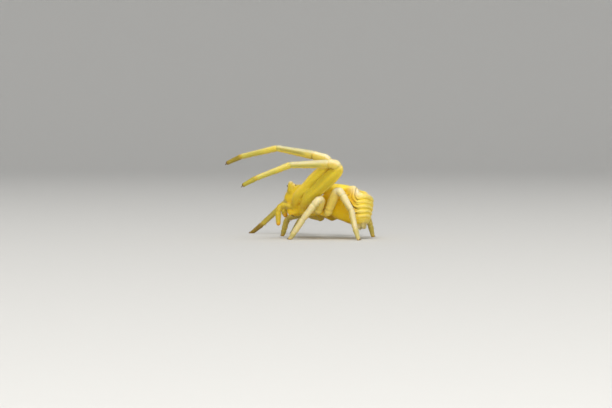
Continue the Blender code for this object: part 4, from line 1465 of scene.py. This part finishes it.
def make_fangs(colours):
    shells = []
    for side in SIDES:
        root = mirrored(JAW_BOTTOM, side) + (0.02, side * -0.05, 0.12)
        ahead = unit(np.array((0.10, side * -0.20, -FANG_LENGTH)))
        inward = np.array((0.50, side * -0.80, 0.0))
        shell = hooked_shell(root, ahead, inward, FANG_LENGTH, FANG_RADIUS)
        shell.points = leaned(shell.points)
        shells.append(shell)
    return piece_of_shells("fangs", shells, claw_material(colours))


def make_spines(sizes, colours):
    """Pairs of spines under the tibia and metatarsus of the front legs, and a few behind."""
    roots, aims, lies, shares = [], [], [], []
    for name in LEG_JOINTS:
        limb = leg(name)
        for start, end, count in zip(limb.stations[3:5], limb.stations[4:6], SPINE_PAIRS[is_front(name)]):
            for step in range(count):
                place = start + (step + 0.6) / (count + 0.3) * (end - start)
                ahead = limb.way(place, place + 0.05)
                aside = unit(np.cross(ahead, UP))
                below = np.cross(ahead, aside)
                below = below if below[2] < 0.0 else -below
                for side in SIDES:
                    out = unit(below + SPINE_SPREAD * side * aside)
                    roots.append(limb.at(place) + out * (limb.radius(place) - ROOT_DEPTH))
                    aims.append(unit(out + SPINE_LEAN * ahead))
                    lies.append(ahead)
                    shares.append(1.0 - 0.3 * ((step * 7 + side) % 3) / 2.0)
    spines = mesh_object("leg_spines", np.array(roots), np.empty((0, 3), int))
    store(spines.data, "aim", aims, "FLOAT_VECTOR")
    store(spines.data, "lie", lies, "FLOAT_VECTOR")
    store(spines.data, "size", shares)
    along = np.linspace(0.05, 0.95, len(roots))
    store(spines.data, "root_place", np.column_stack((along, along, 0.0 * along)), "FLOAT_VECTOR")
    length = sizes.spine_length / MM
    finish = mottled_material("spider_spine", 0.10, 2.0, colours.cream, colours.amber, {"Roughness": 0.38})
    grown(spines, spine_tree(), {"Length": length, "Radius": SPINE_SLIMNESS * length, "Material": finish})
    finish_mesh(spines)
    return spines


def make_hairs(skin, sizes, colours):
    hairs = placed("fine_hairs", skin.data.copy())
    hairs.data.transform(TO_METRES.inverted())
    hairs.data.materials.clear()
    grown(hairs, hair_tree(), {"Density": sizes.density, "Length": sizes.length / MM,
                               "Radius": sizes.radius / MM, "Seed": sizes.seed,
                               "Material": hair_material(colours)})
    finish_mesh(hairs)
    return hairs


def make_stage(looks):
    """A pale floor that rises all round in a soft curve to a wall."""
    profile = [(FLOOR_RADIUS * share, 0.0) for share in FLOOR_RINGS]
    for step in range(1, WALL_BEND_STEPS + 1):
        turn = 0.5 * math.pi * step / WALL_BEND_STEPS
        profile.append((FLOOR_RADIUS + WALL_BEND * math.sin(turn), WALL_BEND * (1.0 - math.cos(turn))))
    profile.append((FLOOR_RADIUS + WALL_BEND, WALL_BEND + WALL_HEIGHT))
    sides = FLOOR_SIDES
    angle = math.tau * np.arange(sides) / sides
    ring = np.stack((np.cos(angle), np.sin(angle), np.zeros(sides)), -1)
    rings = [ring * radius + (0.0, 0.0, height) for radius, height in profile]
    points = np.concatenate((*rings, [(0.0, 0.0, 0.0)]))
    corners = ((0, 0), (1, 0), (1, 1), (0, 1))
    faces = [tuple((row + lift) * sides + (side + step) % sides for step, lift in corners)
             for row in range(len(profile) - 1) for side in range(sides)]
    faces += [(side, len(points) - 1, (side + 1) % sides) for side in range(sides)]
    mesh = bpy.data.meshes.new("stage_floor")
    mesh.from_pydata(points.tolist(), [], faces)
    mesh.shade_smooth()
    darker = [channel * PAPER_SHADE for channel in looks.floor_colour]
    mesh.materials.append(mottled_material("stage_paper", 0.9, 3.0, looks.floor_colour, darker,
                                           {"Roughness": 0.85, "Specular IOR Level": 0.2}))
    bm = bmesh.new()
    bm.from_mesh(mesh)
    bmesh.ops.recalc_face_normals(bm, faces=bm.faces)
    bm.to_mesh(mesh)
    bm.free()
    placed("stage_floor", mesh)


def make_lamp(name, power, place, size, colour):
    lamp = bpy.data.lights.new(name, "AREA")
    lamp.shape = "DISK"
    lamp.size = size
    lamp.energy = power
    lamp.color = colour
    item = placed(name, lamp)
    item.location = place
    item.rotation_euler = (Vector(LIGHTS_AIM) - Vector(place)).to_track_quat("-Z", "Y").to_euler()


def make_light(looks):
    scene = bpy.context.scene
    scene.world = bpy.data.worlds.new("room")
    scene.world.use_nodes = True
    tree = scene.world.node_tree
    feed(tree, tree.nodes["Background"], {"Color": rgba(ROOM_COLOUR), "Strength": looks.sky})
    make_lamp("key_light", looks.key_power, *KEY_LIGHT)
    make_lamp("fill_light", looks.fill_power, *FILL_LIGHT)
    scene.view_settings.view_transform = "Standard"
    scene.view_settings.look = "None"


def make_camera():
    """The camera at the photograph's angle and framing."""
    sine, cosine = math.sin(CAMERA_AZIMUTH), math.cos(CAMERA_AZIMUTH)
    ahead = Vector((-sine * math.cos(CAMERA_ELEVATION), cosine * math.cos(CAMERA_ELEVATION),
                    -math.sin(CAMERA_ELEVATION)))
    right = Vector((cosine, sine, 0.0))
    up = right.cross(ahead)
    place = (right * ((IMAGE_MIDDLE[0] - IMAGE_ORIGIN[0]) * PIXEL)
             + up * ((IMAGE_ORIGIN[1] - IMAGE_MIDDLE[1]) * PIXEL)
             - ahead * CAMERA_DISTANCE + Vector((*CENTRE_SHIFT, 0.0)))
    data = bpy.data.cameras.new("camera")
    data.sensor_width = SENSOR_WIDTH
    data.lens = SENSOR_WIDTH * CAMERA_DISTANCE / (IMAGE_WIDTH * PIXEL)
    data.clip_start = 0.01
    data.clip_end = 10.0
    camera = placed("camera", data)
    turn = Matrix((right, up, -ahead)).transposed().to_4x4()
    camera.matrix_world = Matrix.Translation(place * MM) @ turn
    bpy.context.scene.camera = camera


def carried(piece, slot, *nodes):
    """Attach a piece to the spider and hide the nodes that it stands for; slot, its finish, is not used."""
    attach(piece, "root")
    if nodes:
        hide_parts(*nodes)


class CRABSPIDER_OT_skin(Operator):
    """Make the one skin that covers the body, the legs and the mouthparts"""
    bl_idname = "crab_spider.skin"
    bl_label = "Skin"

    def execute(self, context):
        scene = context.scene
        skin = make_skin(scene.spider_skin_sizes, scene.spider_colours)
        carried(skin, "abdomen_yellow", *sorted(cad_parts))
        return {"FINISHED"}


class CRABSPIDER_OT_eyes(Operator):
    """Set the eight eyes in the brow"""
    bl_idname = "crab_spider.eyes"
    bl_label = "Eyes"

    def execute(self, context):
        carried(make_eyes(context.scene.spider_eyes), "eye_black")
        return {"FINISHED"}


class CRABSPIDER_OT_claws(Operator):
    """Make the claws of the legs and the fangs of the jaws"""
    bl_idname = "crab_spider.claws"
    bl_label = "Claws and Fangs"

    def execute(self, context):
        for make in (make_claws, make_fangs):
            carried(make(context.scene.spider_colours), "claw_brown")
        return {"FINISHED"}


class CRABSPIDER_OT_spines(Operator):
    """Grow the spines of the legs"""
    bl_idname = "crab_spider.spines"
    bl_label = "Spines"

    def execute(self, context):
        scene = context.scene
        carried(make_spines(scene.spider_hairs, scene.spider_colours), "leg_cream")
        return {"FINISHED"}


class CRABSPIDER_OT_hairs(Operator):
    """Grow the fine hairs over the skin"""
    bl_idname = "crab_spider.hairs"
    bl_label = "Fine Hairs"

    def execute(self, context):
        scene = context.scene
        hairs = make_hairs(bpy.data.objects["spider_skin"], scene.spider_hairs, scene.spider_colours)
        carried(hairs, "leg_cream")
        return {"FINISHED"}


class CRABSPIDER_OT_stage(Operator):
    """Set the floor, the lights and the camera"""
    bl_idname = "crab_spider.stage"
    bl_label = "Stage"

    def execute(self, context):
        looks = context.scene.spider_stage
        make_stage(looks)
        make_light(looks)
        make_camera()
        return {"FINISHED"}


class CRABSPIDER_PT_panel(Panel):
    bl_label = "Crab Spider"
    bl_idname = "CRABSPIDER_PT_panel"
    bl_space_type = "VIEW_3D"
    bl_region_type = "UI"
    bl_category = "Crab Spider"

    def draw(self, context):
        for name in SETTINGS:
            group = getattr(context.scene, name)
            box = self.layout.box()
            for field in group.__annotations__:
                box.prop(group, field)
        for operator in OPERATORS:
            self.layout.operator(operator.bl_idname)


SETTINGS = {
    "spider_skin_sizes": SkinSizes,
    "spider_colours": SkinColours,
    "spider_hairs": HairSizes,
    "spider_eyes": EyeLooks,
    "spider_stage": StageLooks,
}
OPERATORS = (CRABSPIDER_OT_skin, CRABSPIDER_OT_eyes, CRABSPIDER_OT_claws, CRABSPIDER_OT_spines,
             CRABSPIDER_OT_hairs, CRABSPIDER_OT_stage)


def register():
    for group in (*SETTINGS.values(), *OPERATORS, CRABSPIDER_PT_panel):
        bpy.utils.register_class(group)
    for name, group in SETTINGS.items():
        setattr(bpy.types.Scene, name, PointerProperty(type=group))


def unregister():
    for name in SETTINGS:
        delattr(bpy.types.Scene, name)
    for group in reversed((*SETTINGS.values(), *OPERATORS, CRABSPIDER_PT_panel)):
        bpy.utils.unregister_class(group)


def main():
    register()
    bpy.ops.crab_spider.stage()
    bpy.ops.crab_spider.skin()
    bpy.ops.crab_spider.eyes()
    bpy.ops.crab_spider.claws()
    bpy.ops.crab_spider.spines()
    bpy.ops.crab_spider.hairs()


if __name__ == "__main__":
    main()
